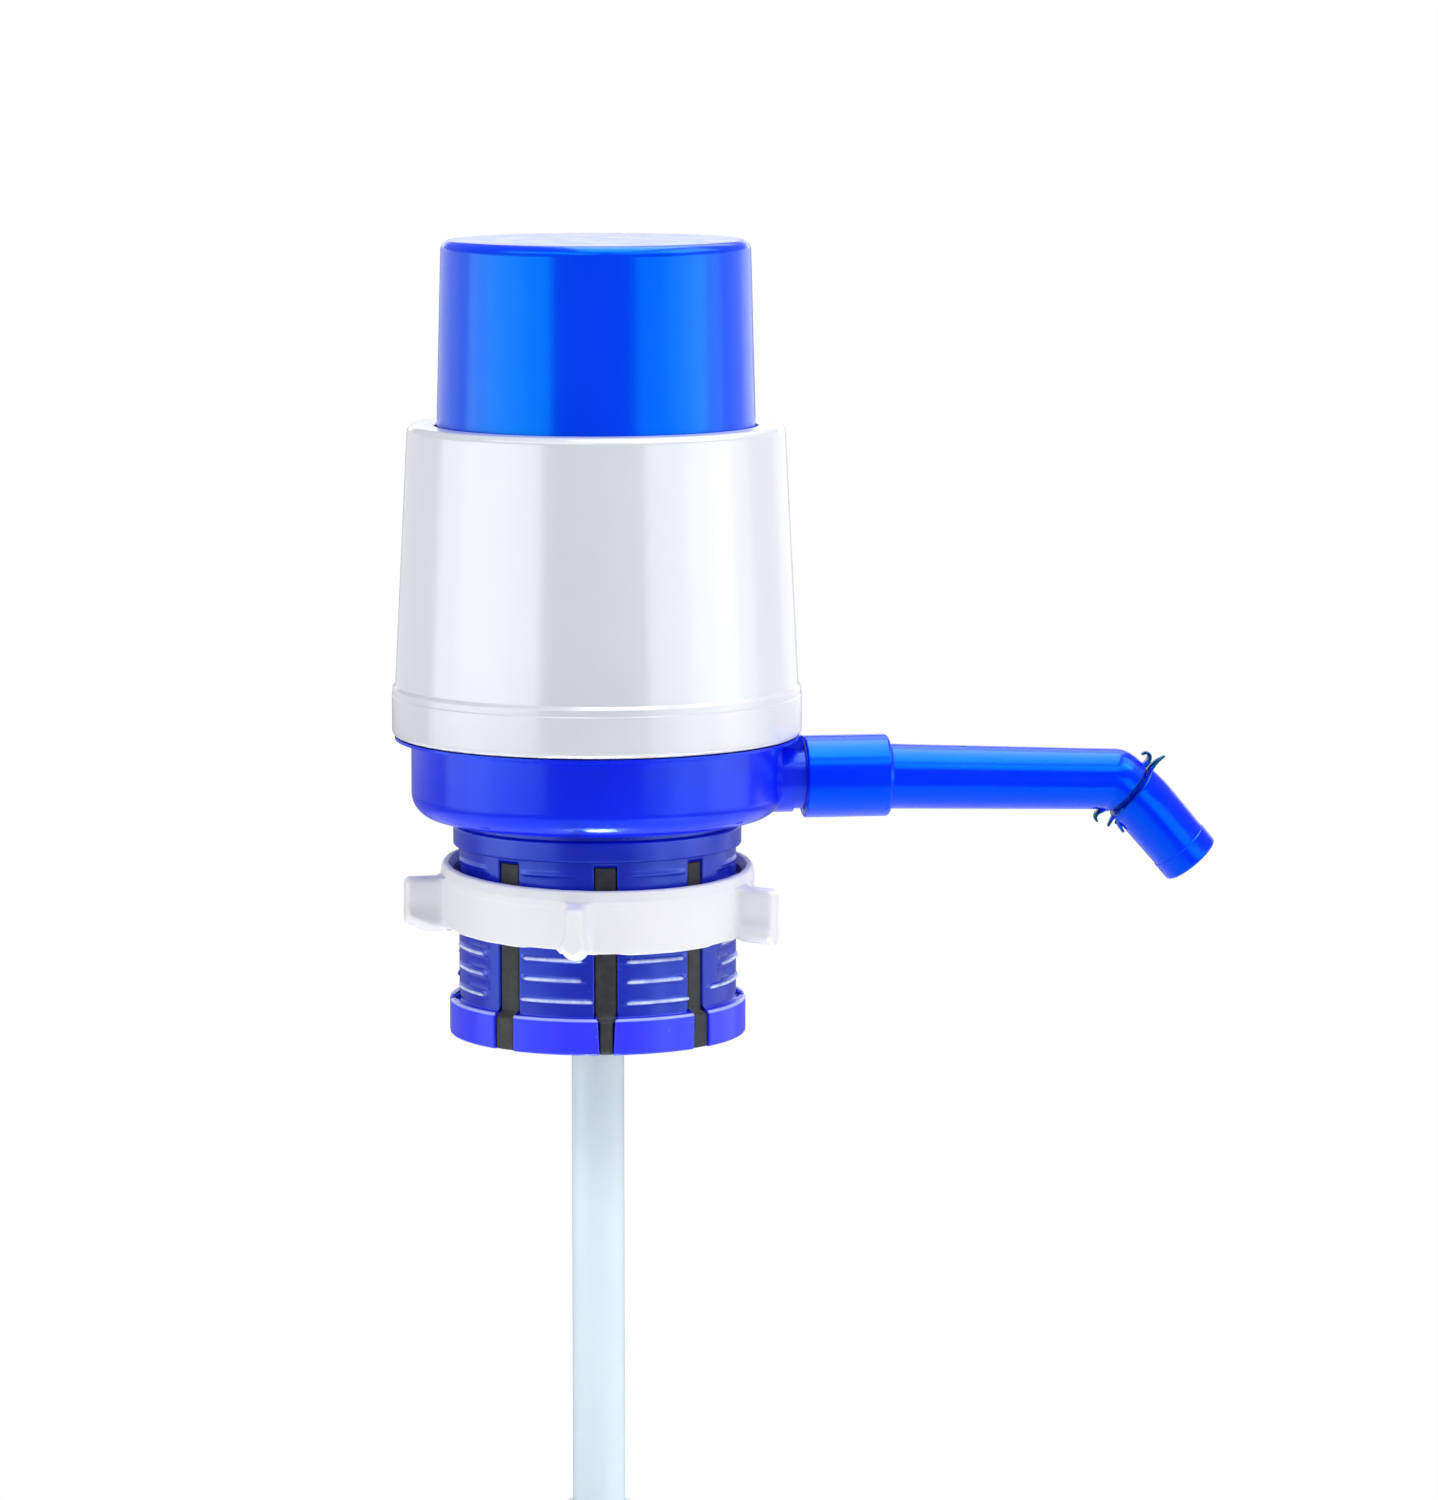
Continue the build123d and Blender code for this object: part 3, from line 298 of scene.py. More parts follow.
def arm_plastic(colour, dark, rough):
    """Moulded plastic with painted shade: darker in the groove of the oblique joint and on the small ears beside it."""
    m = moulded("arm_blue", colour, rough, spec=1.0, tint=(0.0, 0.8, 1.0))
    t = m.node_tree
    bsdf = t.nodes["Principled BSDF"]
    was = bsdf.inputs["Base Color"].links[0].from_socket
    co = next(n for n in t.nodes if n.type == "TEX_COORD").outputs["Object"]

    def vec(op, a, b):
        n = t.nodes.new("ShaderNodeVectorMath")
        n.operation = op
        t.links.new(a, n.inputs[0])
        if b is not None:
            n.inputs[1].default_value = b
        return n

    def calc(op, a, b, c=None):
        n = t.nodes.new("ShaderNodeMath")
        n.operation = op
        for i, v in enumerate((a, b, c)):
            if v is None:
                continue
            if isinstance(v, (int, float)):
                n.inputs[i].default_value = v
            else:
                t.links.new(v, n.inputs[i])
        return n.outputs[0]

    def fade(value, a, b):
        n = t.nodes.new("ShaderNodeMapRange")
        n.inputs["From Min"].default_value, n.inputs["From Max"].default_value = a, b
        t.links.new(value, n.inputs["Value"])
        return n.outputs[0]

    d = vec("SUBTRACT", co, (0.1230758, 0.0, 0.0096984))
    n_axis = vec("DOT_PRODUCT", d.outputs[0], (math.cos(rad(40.7)), 0, -math.sin(rad(40.7)))).outputs["Value"]
    length = vec("LENGTH", d.outputs[0], None).outputs["Value"]
    off = calc("SQRT", calc("SUBTRACT", calc("MULTIPLY", length, length), calc("MULTIPLY", n_axis, n_axis)), 0.0)
    size = calc("ABSOLUTE", n_axis, 0.0)
    # painted shade: darker navy in the groove of the oblique joint
    groove = calc("MULTIPLY", fade(size, 0.0013, 0.0009), fade(off, 0.0055, 0.006))
    near = calc("MULTIPLY", fade(n_axis, -0.0036, -0.003), fade(n_axis, 0.0062, 0.0055))
    # painted shade: darker on the small ears beside the joint
    ears = calc("MULTIPLY", near, fade(off, 0.0077, 0.0081))
    mask = calc("MAXIMUM", calc("MULTIPLY", groove, 0.6), ears)
    x = t.nodes.new("ShaderNodeMix")
    x.data_type = "RGBA"
    t.links.new(mask, x.inputs["Factor"])
    t.links.new(was, x.inputs["A"])
    x.inputs["B"].default_value = (*dark, 1)
    t.links.new(x.outputs["Result"], bsdf.inputs["Base Color"])
    return m


mats = {
    "cap_blue": moulded("cap_blue", (0.0, 0.026, 0.79), 0.2, spec=1.0, tint=(0.0, 0.8, 1.0)),
    "housing_white": moulded("housing_white", (0.615, 0.635, 0.685), 0.19, shift=0.012, spec=1.0, ior=1.6),
    "base_blue": moulded("base_blue", (0.0, 0.009, 0.76), 0.2, spec=1.0, tint=(0.2, 0.5, 1.0)),
    # claw_blue: flange colour, the darker finger and neck colours as painted shade, the pale painted highlight colour,
    # then roughness
    "claw_blue": claw_plastic("claw_blue", (0.03, 0.028, 0.93), (0.006, 0.014, 0.48), (0.001, 0.010, 0.50), (0.72, 0.8, 1.0), 0.24),
    # arm_blue: the second colour is the painted shade for the joint's groove and the small ears
    "arm_blue": arm_plastic((0.0, 0.006, 0.92), (0.0, 0.003, 0.11), 0.2),
    "ring_white": moulded("ring_white", (0.735, 0.735, 0.755), 0.42, shift=0.015, grain=1300, grain_d=1.2e-5),
    "inner_white": moulded("inner_white", (0.74, 0.755, 0.78), 0.36, shift=0.03, grain=1100, grain_d=1e-5),
    "seal_rubber": rubber("seal_rubber", (0.022, 0.025, 0.027), 0.55),
    "valve_rubber": rubber("valve_rubber", (0.42, 0.055, 0.03), 0.45),
    "bellows_plastic": moulded("bellows_plastic", (0.70, 0.735, 0.76), 0.38, shift=0.04, subsurface=0.25),
    "spring_steel": drawn_steel("spring_steel", (0.62, 0.63, 0.65), 0.22, (0.15, 0.15, 1)),
    "screw_steel": drawn_steel("screw_steel", (0.60, 0.61, 0.63), 0.26, (1, 1, 0.1)),
    "tube_clear": moulded("tube_clear", (0.70, 0.81, 0.89), 0.16, shift=0.05, wave_d=4e-5, subsurface=0.3),
    "sleeve_silicone": moulded("sleeve_silicone", (0.66, 0.72, 0.75), 0.4, shift=0.05, grain=1400, grain_d=1.4e-5, subsurface=0.3),
}
for n, o in nodes.items():
    slot = o.data.materials[0].name.split(".")[0]
    o.data.materials[0] = mats.get(slot) or next(v for k, v in mats.items() if slot.startswith(k))


# ---------------------------------------------------------------- mesh toolkit
def rounded(points, closed=True, step=12.0):
    """Polygon of (x, y, corner radius) with its corners replaced by arcs, one point every few degrees."""
    res, n = [], len(points)
    for i, (x, y, r) in enumerate(points):
        p = np.array([x, y], float)
        if r <= 0 or (not closed and i in (0, n - 1)):
            res.append(p)
            continue
        a, b = np.array(points[i - 1][:2], float) - p, np.array(points[(i + 1) % n][:2], float) - p
        la, lb = np.linalg.norm(a), np.linalg.norm(b)
        a, b = a / la, b / lb
        half = math.acos(float(np.clip(a @ b, -1, 1))) / 2
        t = min(r / math.tan(half), 0.49 * la, 0.49 * lb)
        r = t * math.tan(half)
        c = p + (a + b) / np.linalg.norm(a + b) * r / math.sin(half)
        v0, v1 = p + a * t - c, p + b * t - c
        turn = math.atan2(v0[0] * v1[1] - v0[1] * v1[0], float(v0 @ v1))
        k = max(2, math.ceil(abs(turn) / rad(step)))
        for j in range(k + 1):
            w = turn * j / k
            res.append(c + np.array([v0[0] * math.cos(w) - v0[1] * math.sin(w), v0[0] * math.sin(w) + v0[1] * math.cos(w)]))
    return res


def piece(name, verts, faces, body, stands_for, slot_name, merge=1e-3):
    """A finished object from vertices in mm: welded, facing outwards, smooth, riding on its body."""
    me = bpy.data.meshes.new(name)
    me.from_pydata([tuple(float(c) * MM for c in v) for v in verts], [], faces)
    bm = bmesh.new()
    bm.from_mesh(me)
    bmesh.ops.remove_doubles(bm, verts=bm.verts, dist=merge * MM)
    bmesh.ops.dissolve_degenerate(bm, edges=bm.edges, dist=1e-3 * MM)
    bmesh.ops.recalc_face_normals(bm, faces=bm.faces)
    for f in bm.faces:
        f.smooth = True
    bm.to_mesh(me)
    bm.free()
    me.materials.append(mats[slot_name])
    obj = bpy.data.objects.new(name, me)
    scene.collection.objects.link(obj)
    wn = obj.modifiers.new("normals", "WEIGHTED_NORMAL")
    wn.mode, wn.weight, wn.keep_sharp = "FACE_AREA", 60, False
    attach(obj, body)
    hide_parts(*stands_for)
    return obj


def loops(rings, close_last=True):
    """Vertices and quads of a surface through rings of points, the last ring joined to the first when close_last."""
    n = len(rings[0])
    verts = [p for ring in rings for p in ring]
    faces = []
    m = len(rings)
    for i in range(m if close_last else m - 1):
        a, b = i * n, ((i + 1) % m) * n
        faces += [(a + j, a + (j + 1) % n, b + (j + 1) % n, b + j) for j in range(n)]
    return verts, faces


def lathe(profile, n=224):
    ang = np.arange(n) * 2 * math.pi / n
    return loops([[(r * math.cos(a), r * math.sin(a), z) for a in ang] for r, z in profile])


def join(*parts):
    verts, faces = [], []
    for v, f in parts:
        k = len(verts)
        verts += list(v)
        faces += [tuple(i + k for i in face) for face in f]
    return verts, faces


# ---------------------------------------------------------------- housing
housing = [(46.5, 25.15, 1.3), (46.5, 34.3, 0.1), (46.36, 34.6, 0.1), (46.36, 36.0, 0.45), (45.72, 36.75, 0.35), (42.7, 95.5, 1.7),
           (36.5, 95.5, 0.6), (36.5, 93.3, 0.3), (40.4, 93.3, 0.8), (43.0, 35.3, 0), (43.8, 35.3, 0.2), (43.8, 27.0, 0),
           (43.1, 26.6, 0), (43.1, 25.9, 0), (43.5, 25.15, 0.2)]
piece("housing_shell", *lathe(rounded(housing, step=10)), "pump_body", ["outer_housing"], "housing_white")


# ---------------------------------------------------------------- claw
CLAW_IN, CLAW_OUT, FLANGE = 29.0, 31.6, 33.75
SLOT_TOP = -0.9
SLOTS = [(-93.5, 5.2, 3.2), (-52.6, 4.5, 4.8), (-4.0, 5.2, 3.2), (44.0, 4.5, 4.8),
         (86.5, 5.2, 3.2), (127.4, 4.5, 4.8), (176.0, 5.2, 3.2), (224.0, 5.6, 5.4)]
RIBS = [-2.9, -7.8, -12.4, -17.2, -22.0, -26.6, -31.4]
RIB_SHAPE = [(0.85, 0.0), (0.74, 0.04), (0.4, 0.24), (0.05, 0.45), (-0.08, 0.52), (-0.22, 0.5), (-0.45, 0.28), (-0.72, 0.02), (-0.85, 0.0)]
RIB_SPAN = {0: (0.13, 0.90), 1: (0.34, 0.97), 7: (0.09, 0.84), 6: (0.03, 0.74), 3: (0.13, 0.90), 4: (0.09, 0.84)}


def smooth(a, b, x):
    t = min(1.0, max(0.0, (x - a) / (b - a)))
    return t * t * (3 - 2 * t)


def claw():
    top = rounded([(CLAW_IN, 6.5, 0), (31.4, 6.5, 0.3), (31.4, 4.8, 0.15), (32.8, 4.8, 0.6), (32.8, 0.0, 1.15),
                   (CLAW_OUT, 0.0, 0.12), (CLAW_OUT, SLOT_TOP, 0)], closed=False)
    foot = rounded([(CLAW_OUT, -33.4, 0), (CLAW_OUT, -35.0, 0.25), (FLANGE, -35.0, 0.5), (FLANGE, -43.2, 0.55),
                    (31.0, -43.2, 0)], closed=False)
    rows = [(r, z, 0.0) for r, z in top[1:]]
    slot_row = len(rows) - 1
    rows += [(CLAW_OUT, SLOT_TOP - 0.15, 0.0), (CLAW_OUT, SLOT_TOP - 0.4, 0.0)]
    for i, zc in enumerate(RIBS):
        rows += [(CLAW_OUT, zc + dz, h) for dz, h in RIB_SHAPE]
        if i < len(RIBS) - 1:
            nxt = RIBS[i + 1] + RIB_SHAPE[0][0]
            z0 = zc + RIB_SHAPE[-1][0]
            rows += [(CLAW_OUT, z0 - 0.3, -1.0), (CLAW_OUT, z0 - 0.45, -2.0), (CLAW_OUT, nxt + 0.25, -2.0), (CLAW_OUT, nxt + 0.12, -1.0)]
    rows += [(r, z, 0.0) for r, z in foot]
    arc = [0.0]
    for (r0, z0, _), (r1, z1, _) in zip(rows, rows[1:]):
        arc.append(arc[-1] + math.hypot(r1 - r0, z1 - z0))
    edge = [0.0, 0.05, 0.14, 0.27, 0.45, 0.75]

    def half(k, z):
        """Half the slot's width at that height: it changes between the fingers and the flange."""
        _, w, low = SLOTS[k % 8]
        return (w + (low - w) * (1 - smooth(-36.1, -34.6, z))) / 2

    cols = []                      # (finger, position across it in mm from the left or -mm from the right) or (slot, share)
    for k in range(8):
        cols += [("f", k, d, 0) for d in edge]
        cols += [("f", k, None, j / 20) for j in range(1, 20)]
        cols += [("f", k, -d, 0) for d in reversed(edge)]
        cols += [("s", k + 1, None, j / 4) for j in range(1, 4)]
    n = len(cols)

    def point(row, col, inner):
        r, z, mark = rows[row]
        kind, k, d, share = cols[col]
        ri = CLAW_IN if inner else r
        zi = 6.5 - 49.7 * arc[row] / arc[-1] if inner else z
        if not inner and kind == "f" and mark < 0:
            mark_depth = -mark
        else:
            mark_depth = 0
        a0, a1 = SLOTS[k % 8][0] + 360 * (k // 8), SLOTS[(k + 1) % 8][0] + 360 * ((k + 1) // 8)
        left = rad(a0) + math.asin(half(k, z) / ri)
        right = rad(a1) - math.asin(half(k + 1, z) / ri)
        if kind == "s":
            w = math.asin(half(k, z) / ri)
            a = rad(a0) - w + 2 * w * share
            return ri * math.cos(a), ri * math.sin(a), zi
        wide = (right - left) * ri
        if d is None:
            e0, e1 = edge[-1] / wide, 1 - edge[-1] / wide
            u = e0 + (e1 - e0) * share
        else:
            u = d / wide if d > 0 or (d == 0 and not math.copysign(1, d) < 0) else 1 + d / wide
        a = left + (right - left) * u
        if not inner:
            f = k % 8
            drop = smooth(-34.0, -32.6, z) * (1 - smooth(-9.0, -5.0, z))
            zi += {0: -0.4, 3: -0.4, 1: 1.2, 5: 1.2, 6: -0.45, 2: -0.45}.get(f, 0.0) * drop
            if mark > 0:
                s0, s1 = RIB_SPAN.get(f, (0.12, 0.88))
                if RIBS and abs(z - RIBS[-1]) < 1.3:
                    s0, s1 = (0.04, 0.97) if f in (7, 4) else (0.03, 0.74) if f in (6, 2) else (0.12, 1.04)
                tall = 0.4 if z > -5 else 1.0
                ri += tall * mark * smooth(s0 - 0.05, s0 + 0.03, u) * (1 - smooth(s1 - 0.03, s1 + 0.05, u))
            if mark_depth and f in (1, 6, 2, 5):
                lo, hi = (0.42, 0.78) if f in (6, 2) else (0.3, 0.62)
                ri -= (0.0 if mark_depth < 1.5 else 0.5) * smooth(lo - 0.03, lo + 0.01, u) * (1 - smooth(hi - 0.01, hi + 0.03, u))
            dist = min(u, 1 - u) * wide
            if row > slot_row and dist < 0.45:
                ri -= (0.45 - math.sqrt(max(0.0, 0.45 ** 2 - (0.45 - dist) ** 2))) * min(1.0, (row - slot_row) / 2)
        return ri * math.cos(a), ri * math.sin(a), zi

    m = len(rows)
    verts = [point(i, j, False) for i in range(m) for j in range(n)] + [point(i, j, True) for i in range(m) for j in range(n)]
    O = lambda i, j: i * n + j % n
    I = lambda i, j: (m + i) * n + j % n
    solid = [cols[j][0] == "f" and cols[(j + 1) % n][0] == "f" for j in range(n)]
    faces = []
    for i in range(m - 1):
        for j in range(n):
            if i < slot_row or solid[j]:
                faces.append((O(i, j), O(i, j + 1), O(i + 1, j + 1), O(i + 1, j)))
                faces.append((I(i, j), I(i + 1, j), I(i + 1, j + 1), I(i, j + 1)))
            if i >= slot_row and solid[j] and not solid[j - 1]:
                faces.append((O(i, j), O(i + 1, j), I(i + 1, j), I(i, j)))
            if i >= slot_row and solid[j] and not solid[(j + 1) % n]:
                faces.append((O(i, j + 1), I(i, j + 1), I(i + 1, j + 1), O(i + 1, j + 1)))
    for j in range(n):
        faces.append((O(0, j), I(0, j), I(0, j + 1), O(0, j + 1)))
        if solid[j]:
            faces.append((O(m - 1, j), O(m - 1, j + 1), I(m - 1, j + 1), I(m - 1, j)))
        else:
            faces.append((O(slot_row, j), O(slot_row, j + 1), I(slot_row, j + 1), I(slot_row, j)))
    return verts, faces


def sleeve_bars():
    """The sleeve's eight bars, which fill the slots between the fingers almost flush."""
    zs = [(-1.25, 30.7), (-1.4, 31.15)] + [(z, 31.2) for z in np.arange(-3, -34.5, -2.0)] + [(-34.9, 31.25), (-35.5, 32.7), (-36.2, 33.15)]
    zs += [(z, 33.15) for z in (-38, -40, -42)] + [(-42.9, 33.1), (-43.15, 32.7)]
    parts = []
    for a, w, low in SLOTS:
        rings = []
        for z, r in zs:
            h = (w + (low - w) * (1 - smooth(-36.1, -34.6, z))) / 2 - 0.12
            line = [(h, 28.85), (h, r - 0.45), (h - 0.12, r - 0.13), (h - 0.45, r)] + [(q * (h - 0.45), r) for q in (0.6, 0.2, -0.2, -0.6)]
            line += [(0.45 - h, r), (0.12 - h, r - 0.13), (-h, r - 0.45), (-h, 28.85), (0.0, 28.85)]
            c, t = math.cos(rad(a)), math.sin(rad(a))
            ring_pts = []
            for y, q in line:
                x = math.sqrt(max(0.0, q * q - y * y))
                ring_pts.append((x * c - y * t, x * t + y * c, z))
            rings.append(ring_pts)
        verts, faces = loops(rings, close_last=False)
        n = len(rings[0])
        parts.append((verts, faces + [tuple(range(n - 1, -1, -1)), tuple(range(len(verts) - n, len(verts)))]))
    return join(*parts)


piece("sleeve_bar_set", *sleeve_bars(), "pump_body", ["sleeve_bars"], "seal_rubber")
piece("claw", *claw(), "pump_body", ["collet_claw"], "claw_blue")


# ---------------------------------------------------------------- clamp ring
def ring():
    """Ring with soft facets and five wings, as one surface: columns run round it and up each wing's sides."""
    R0, R1 = 32.75, 35.6
    H = 44.4 - R1
    section = [(-3.9, 0.0), (-3.4, 0.1), (-3.0, 0.36), (-2.72, 0.8), (-2.6, 1.5), (-2.6, 3.2), (-2.6, 5.2), (-2.6, H - 1.3)]
    section += [(-2.6 + 1.3 - 1.3 * math.cos(rad(q)), H - 1.3 + 1.3 * math.sin(rad(q))) for q in (22, 45, 67, 90)]
    section += [(-0.65, H)]
    section = section + [(0.0, H)] + [(-t, h) for t, h in reversed(section)]
    cols = []
    for k in range(5):
        a = rad(-104.0 + 72 * k)
        cols += [("w", k, a, t, h) for t, h in section]
        a0, a1 = a + 3.9 / R1, a + rad(72) - 3.9 / R1
        cols += [("r", k, a0 + (a1 - a0) * j / 40, 0, 0) for j in range(1, 40)]

    def facet(a):
        return 0.16 * abs(math.cos(12 * (a - rad(-97)))) ** 0.7 - 0.08

    def low(a):
        """The lower edge is stepped a little between the wings."""
        d = (math.degrees(a) + 104) % 72
        return 0.3 * smooth(14, 19, d) * (1 - smooth(50, 55, d)) - 0.12

    rows = []                      # (kind, ring r, ring z, wing share, inset, wing z from 0 at its top to 1 at its bottom)
    T = rounded([(R0, -6.9, 0), (R0, -6.0, 0.3), (33.9, -4.3, 0.3), (R1 - 0.35, -4.3, 1.0), (R1 + 0.05, -6.5, 0)], closed=False, step=15)
    rows += [("ring", r, z, 0, 0, 0) for r, z in T]
    Z1, F = -6.7, 1.3
    rows += [("top", R1 + 0.05, Z1, 0, F, 0.0), ("top", R1 + 0.05, Z1, 1, F, 0.0)]
    for q in (15, 30, 45, 60, 75, 90):
        rows.append(("top", R1 + 0.05, Z1 - F * (1 - math.cos(rad(q))), 1, F * (1 - math.sin(rad(q))), 0.0))
    for s in np.linspace(0, 1, 30)[1:]:
        rows.append(("wall", R1, Z1 - F - (17.8 + Z1 - F) * s, 1, 0, float(s)))
    B = rounded([(R1, -17.8, 0), (R1, -18.5, 0.6), (34.4, -18.5, 0.2), (R0, -16.9, 0.3), (R0, -16.0, 0)], closed=False, step=15)
    rows += [("ring", r, z, 0, 0, 1) for r, z in B[1:]]
    n = len(cols)
    rings = []
    for kind, r, z, w, inset, s in rows:
        line = []
        for typ, k, a, t, h in cols:
            if typ == "r":
                out = max(0.0, min(1.0, (r - R0 - 0.4) / 1.5))
                rr = r + facet(a) * out
                zz = z - (low(a) - (0.8 if k == 4 else 0.0)) * max(0.0, min(1.0, (-z - 14) / 4))
                line.append((rr * math.cos(a), rr * math.sin(a), zz))
                continue
            rr = r + h * (H - inset) / H * w
            tt = t * (2.6 - inset) / 2.6 if abs(t) <= 2.6 else t
            zz = z
            if kind == "wall":
                cut = 0.0 if k == 1 else max(0.0, rr - 39.6) * 0.5
                zbot = -19.4 + cut
                zw = Z1 - F + (zbot - Z1 + F) * s
                width = 2.15 + 0.85 * (1 - smooth(-17.0, -14.8, zw - cut))
                tail = zw - (zbot + 3.0)
                if tail < 0:
                    width = width / 3.0 * math.sqrt(max(0.0, 3.0 ** 2 - tail ** 2))
                share = smooth(0.05, 1.3, h)
                zz = z * (1 - share) + zw * share
                if abs(t) <= 2.6:
                    tt = t * (width / 2.6)
                else:
                    tt = t * (1 - share) + (math.copysign(width, t) + (t - math.copysign(2.6, t))) * share
            elif kind == "top":
                tt = tt * 2.15 / 2.6 if abs(t) <= 2.6 else t
            line.append((rr * math.cos(a) - tt * math.sin(a), rr * math.sin(a) + tt * math.cos(a), zz))
        rings.append(line)
    verts, faces = loops(rings)
    # the loose ring sits a little crooked on the fingers, lower in front and on the camera's right
    c, s, lean, nod, mid = math.cos(VIEW_A), math.sin(VIEW_A), rad(0.8), rad(2.6), -11.4
    res = []
    for x, y, z in verts:
        u, v, w = x * c - y * s, x * s + y * c, z - mid
        u, w = u * math.cos(lean) + w * math.sin(lean), w * math.cos(lean) - u * math.sin(lean)
        v, w = v * math.cos(nod) - w * math.sin(nod), w * math.cos(nod) + v * math.sin(nod)
        res.append((u * c + v * s, -u * s + v * c, w + mid))
    return res, faces


piece("ring", *ring(), "ring", ["clamp_ring"], "ring_white")


# ---------------------------------------------------------------- spout arm and nozzle
ARM_Z, SLOPE = 14.3, rad(1.8)
BEND_R, BEND_X, BEND_Z = 11.4, 116.0, 12.45
BEND_C = np.array([BEND_X - BEND_R * math.sin(SLOPE), 0, BEND_Z - BEND_R * math.cos(SLOPE)])
JT, NT = rad(40.7), rad(49.5)


def along(t):
    return np.array([math.cos(t), 0, -math.sin(t)])


def across(t):
    return np.array([math.sin(t), 0, math.cos(t)])


J = BEND_C + BEND_R * across(JT)


def circle(c, t, r, n=80):
    """A ring of points round c, square to the direction that points t below the horizontal."""
    return [tuple(c + r * (math.cos(q) * np.array([0, 1.0, 0]) + math.sin(q) * across(t)))
            for q in np.arange(n) * 2 * math.pi / n]


def on_tube(x):
    return np.array([x, 0, BEND_Z + (BEND_X - x) * math.tan(SLOPE)])


def tube_r(x):
    return 7.45 - 0.45 * (x - 64.6) / 51.4


def ribbon(points, widths, thicks, n=12, steps=5):
    """A curved tapering band through points; widths are along Y, thicknesses across it."""
    P = [np.array(p, float) for p in points]
    P = [2 * P[0] - P[1]] + P + [2 * P[-1] - P[-2]]
    line, ws, ts = [], [], []
    m = len(points)
    for i in range(1, m):
        for j in range(steps + (i == m - 1)):
            u = j / steps
            a, b, c, d = P[i - 1], P[i], P[i + 1], P[i + 2]
            line.append(0.5 * (2 * b + (c - a) * u + (2 * a - 5 * b + 4 * c - d) * u * u + (3 * b - a - 3 * c + d) * u ** 3))
            ws.append(widths[i - 1] + (widths[min(i, m - 1)] - widths[i - 1]) * u)
            ts.append(thicks[i - 1] + (thicks[min(i, m - 1)] - thicks[i - 1]) * u)
    rings = []
    for i, c in enumerate(line):
        d = line[min(i + 1, len(line) - 1)] - line[max(i - 1, 0)]
        d /= np.linalg.norm(d)
        side = np.array([0, 1.0, 0]) - d * d[1]
        side /= np.linalg.norm(side)
        up = np.cross(d, side)
        rings.append([tuple(c + math.copysign(abs(math.cos(q)) ** 0.6, math.cos(q)) * ws[i] * side
                            + math.copysign(abs(math.sin(q)) ** 0.6, math.sin(q)) * ts[i] * up)
                      for q in (np.arange(n) + 0.5) * 2 * math.pi / n])
    for end, sign in ((0, -1), (-1, 1)):          # rounded ends
        c = line[end]
        d = (line[1] - line[0]) if end == 0 else (line[-1] - line[-2])
        d /= np.linalg.norm(d)
        cap = [tuple(c + sign * d * 0.6 * ts[end] + 0.5 * (np.array(p) - c)) for p in rings[end]]
        rings = [cap] + rings if end == 0 else rings + [cap]
    verts, faces = loops(rings, close_last=False)
    faces += [tuple(range(n - 1, -1, -1)), tuple(range(len(verts) - n, len(verts)))]
    return verts, faces


def ear(points, widths, thicks, y=0.0):
    """A ribbon through (n, r) points: n along the joint's axis from the joint, r outwards, upper side positive."""
    pts = [J + n * along(JT) + r * across(JT) + np.array([0, q[0] if q else y, 0]) for n, r, *q in points]
    return ribbon(pts, widths, thicks)


def bend_line(q, steps=14):
    """One line of the bend's outside, at the angle q round the tube: wide on top and tight below."""
    half = (JT - SLOPE) / 2
    flat, up = along(SLOPE), math.sin(q)
    centre = on_tube(BEND_X) + BEND_R * math.tan(half) * flat
    corner = centre + 7.0 * up * math.tan(half) * flat + 7.0 * (math.cos(q) * np.array([0, 1.0, 0]) + up * across(SLOPE))
    r = 1.0 + 7.0 * ((1 + up) / 2) ** 1.3
    mid = corner - r * math.tan(half) * flat - r * across(SLOPE)
    return [mid + r * across(t) for t in np.linspace(SLOPE, JT, steps)]


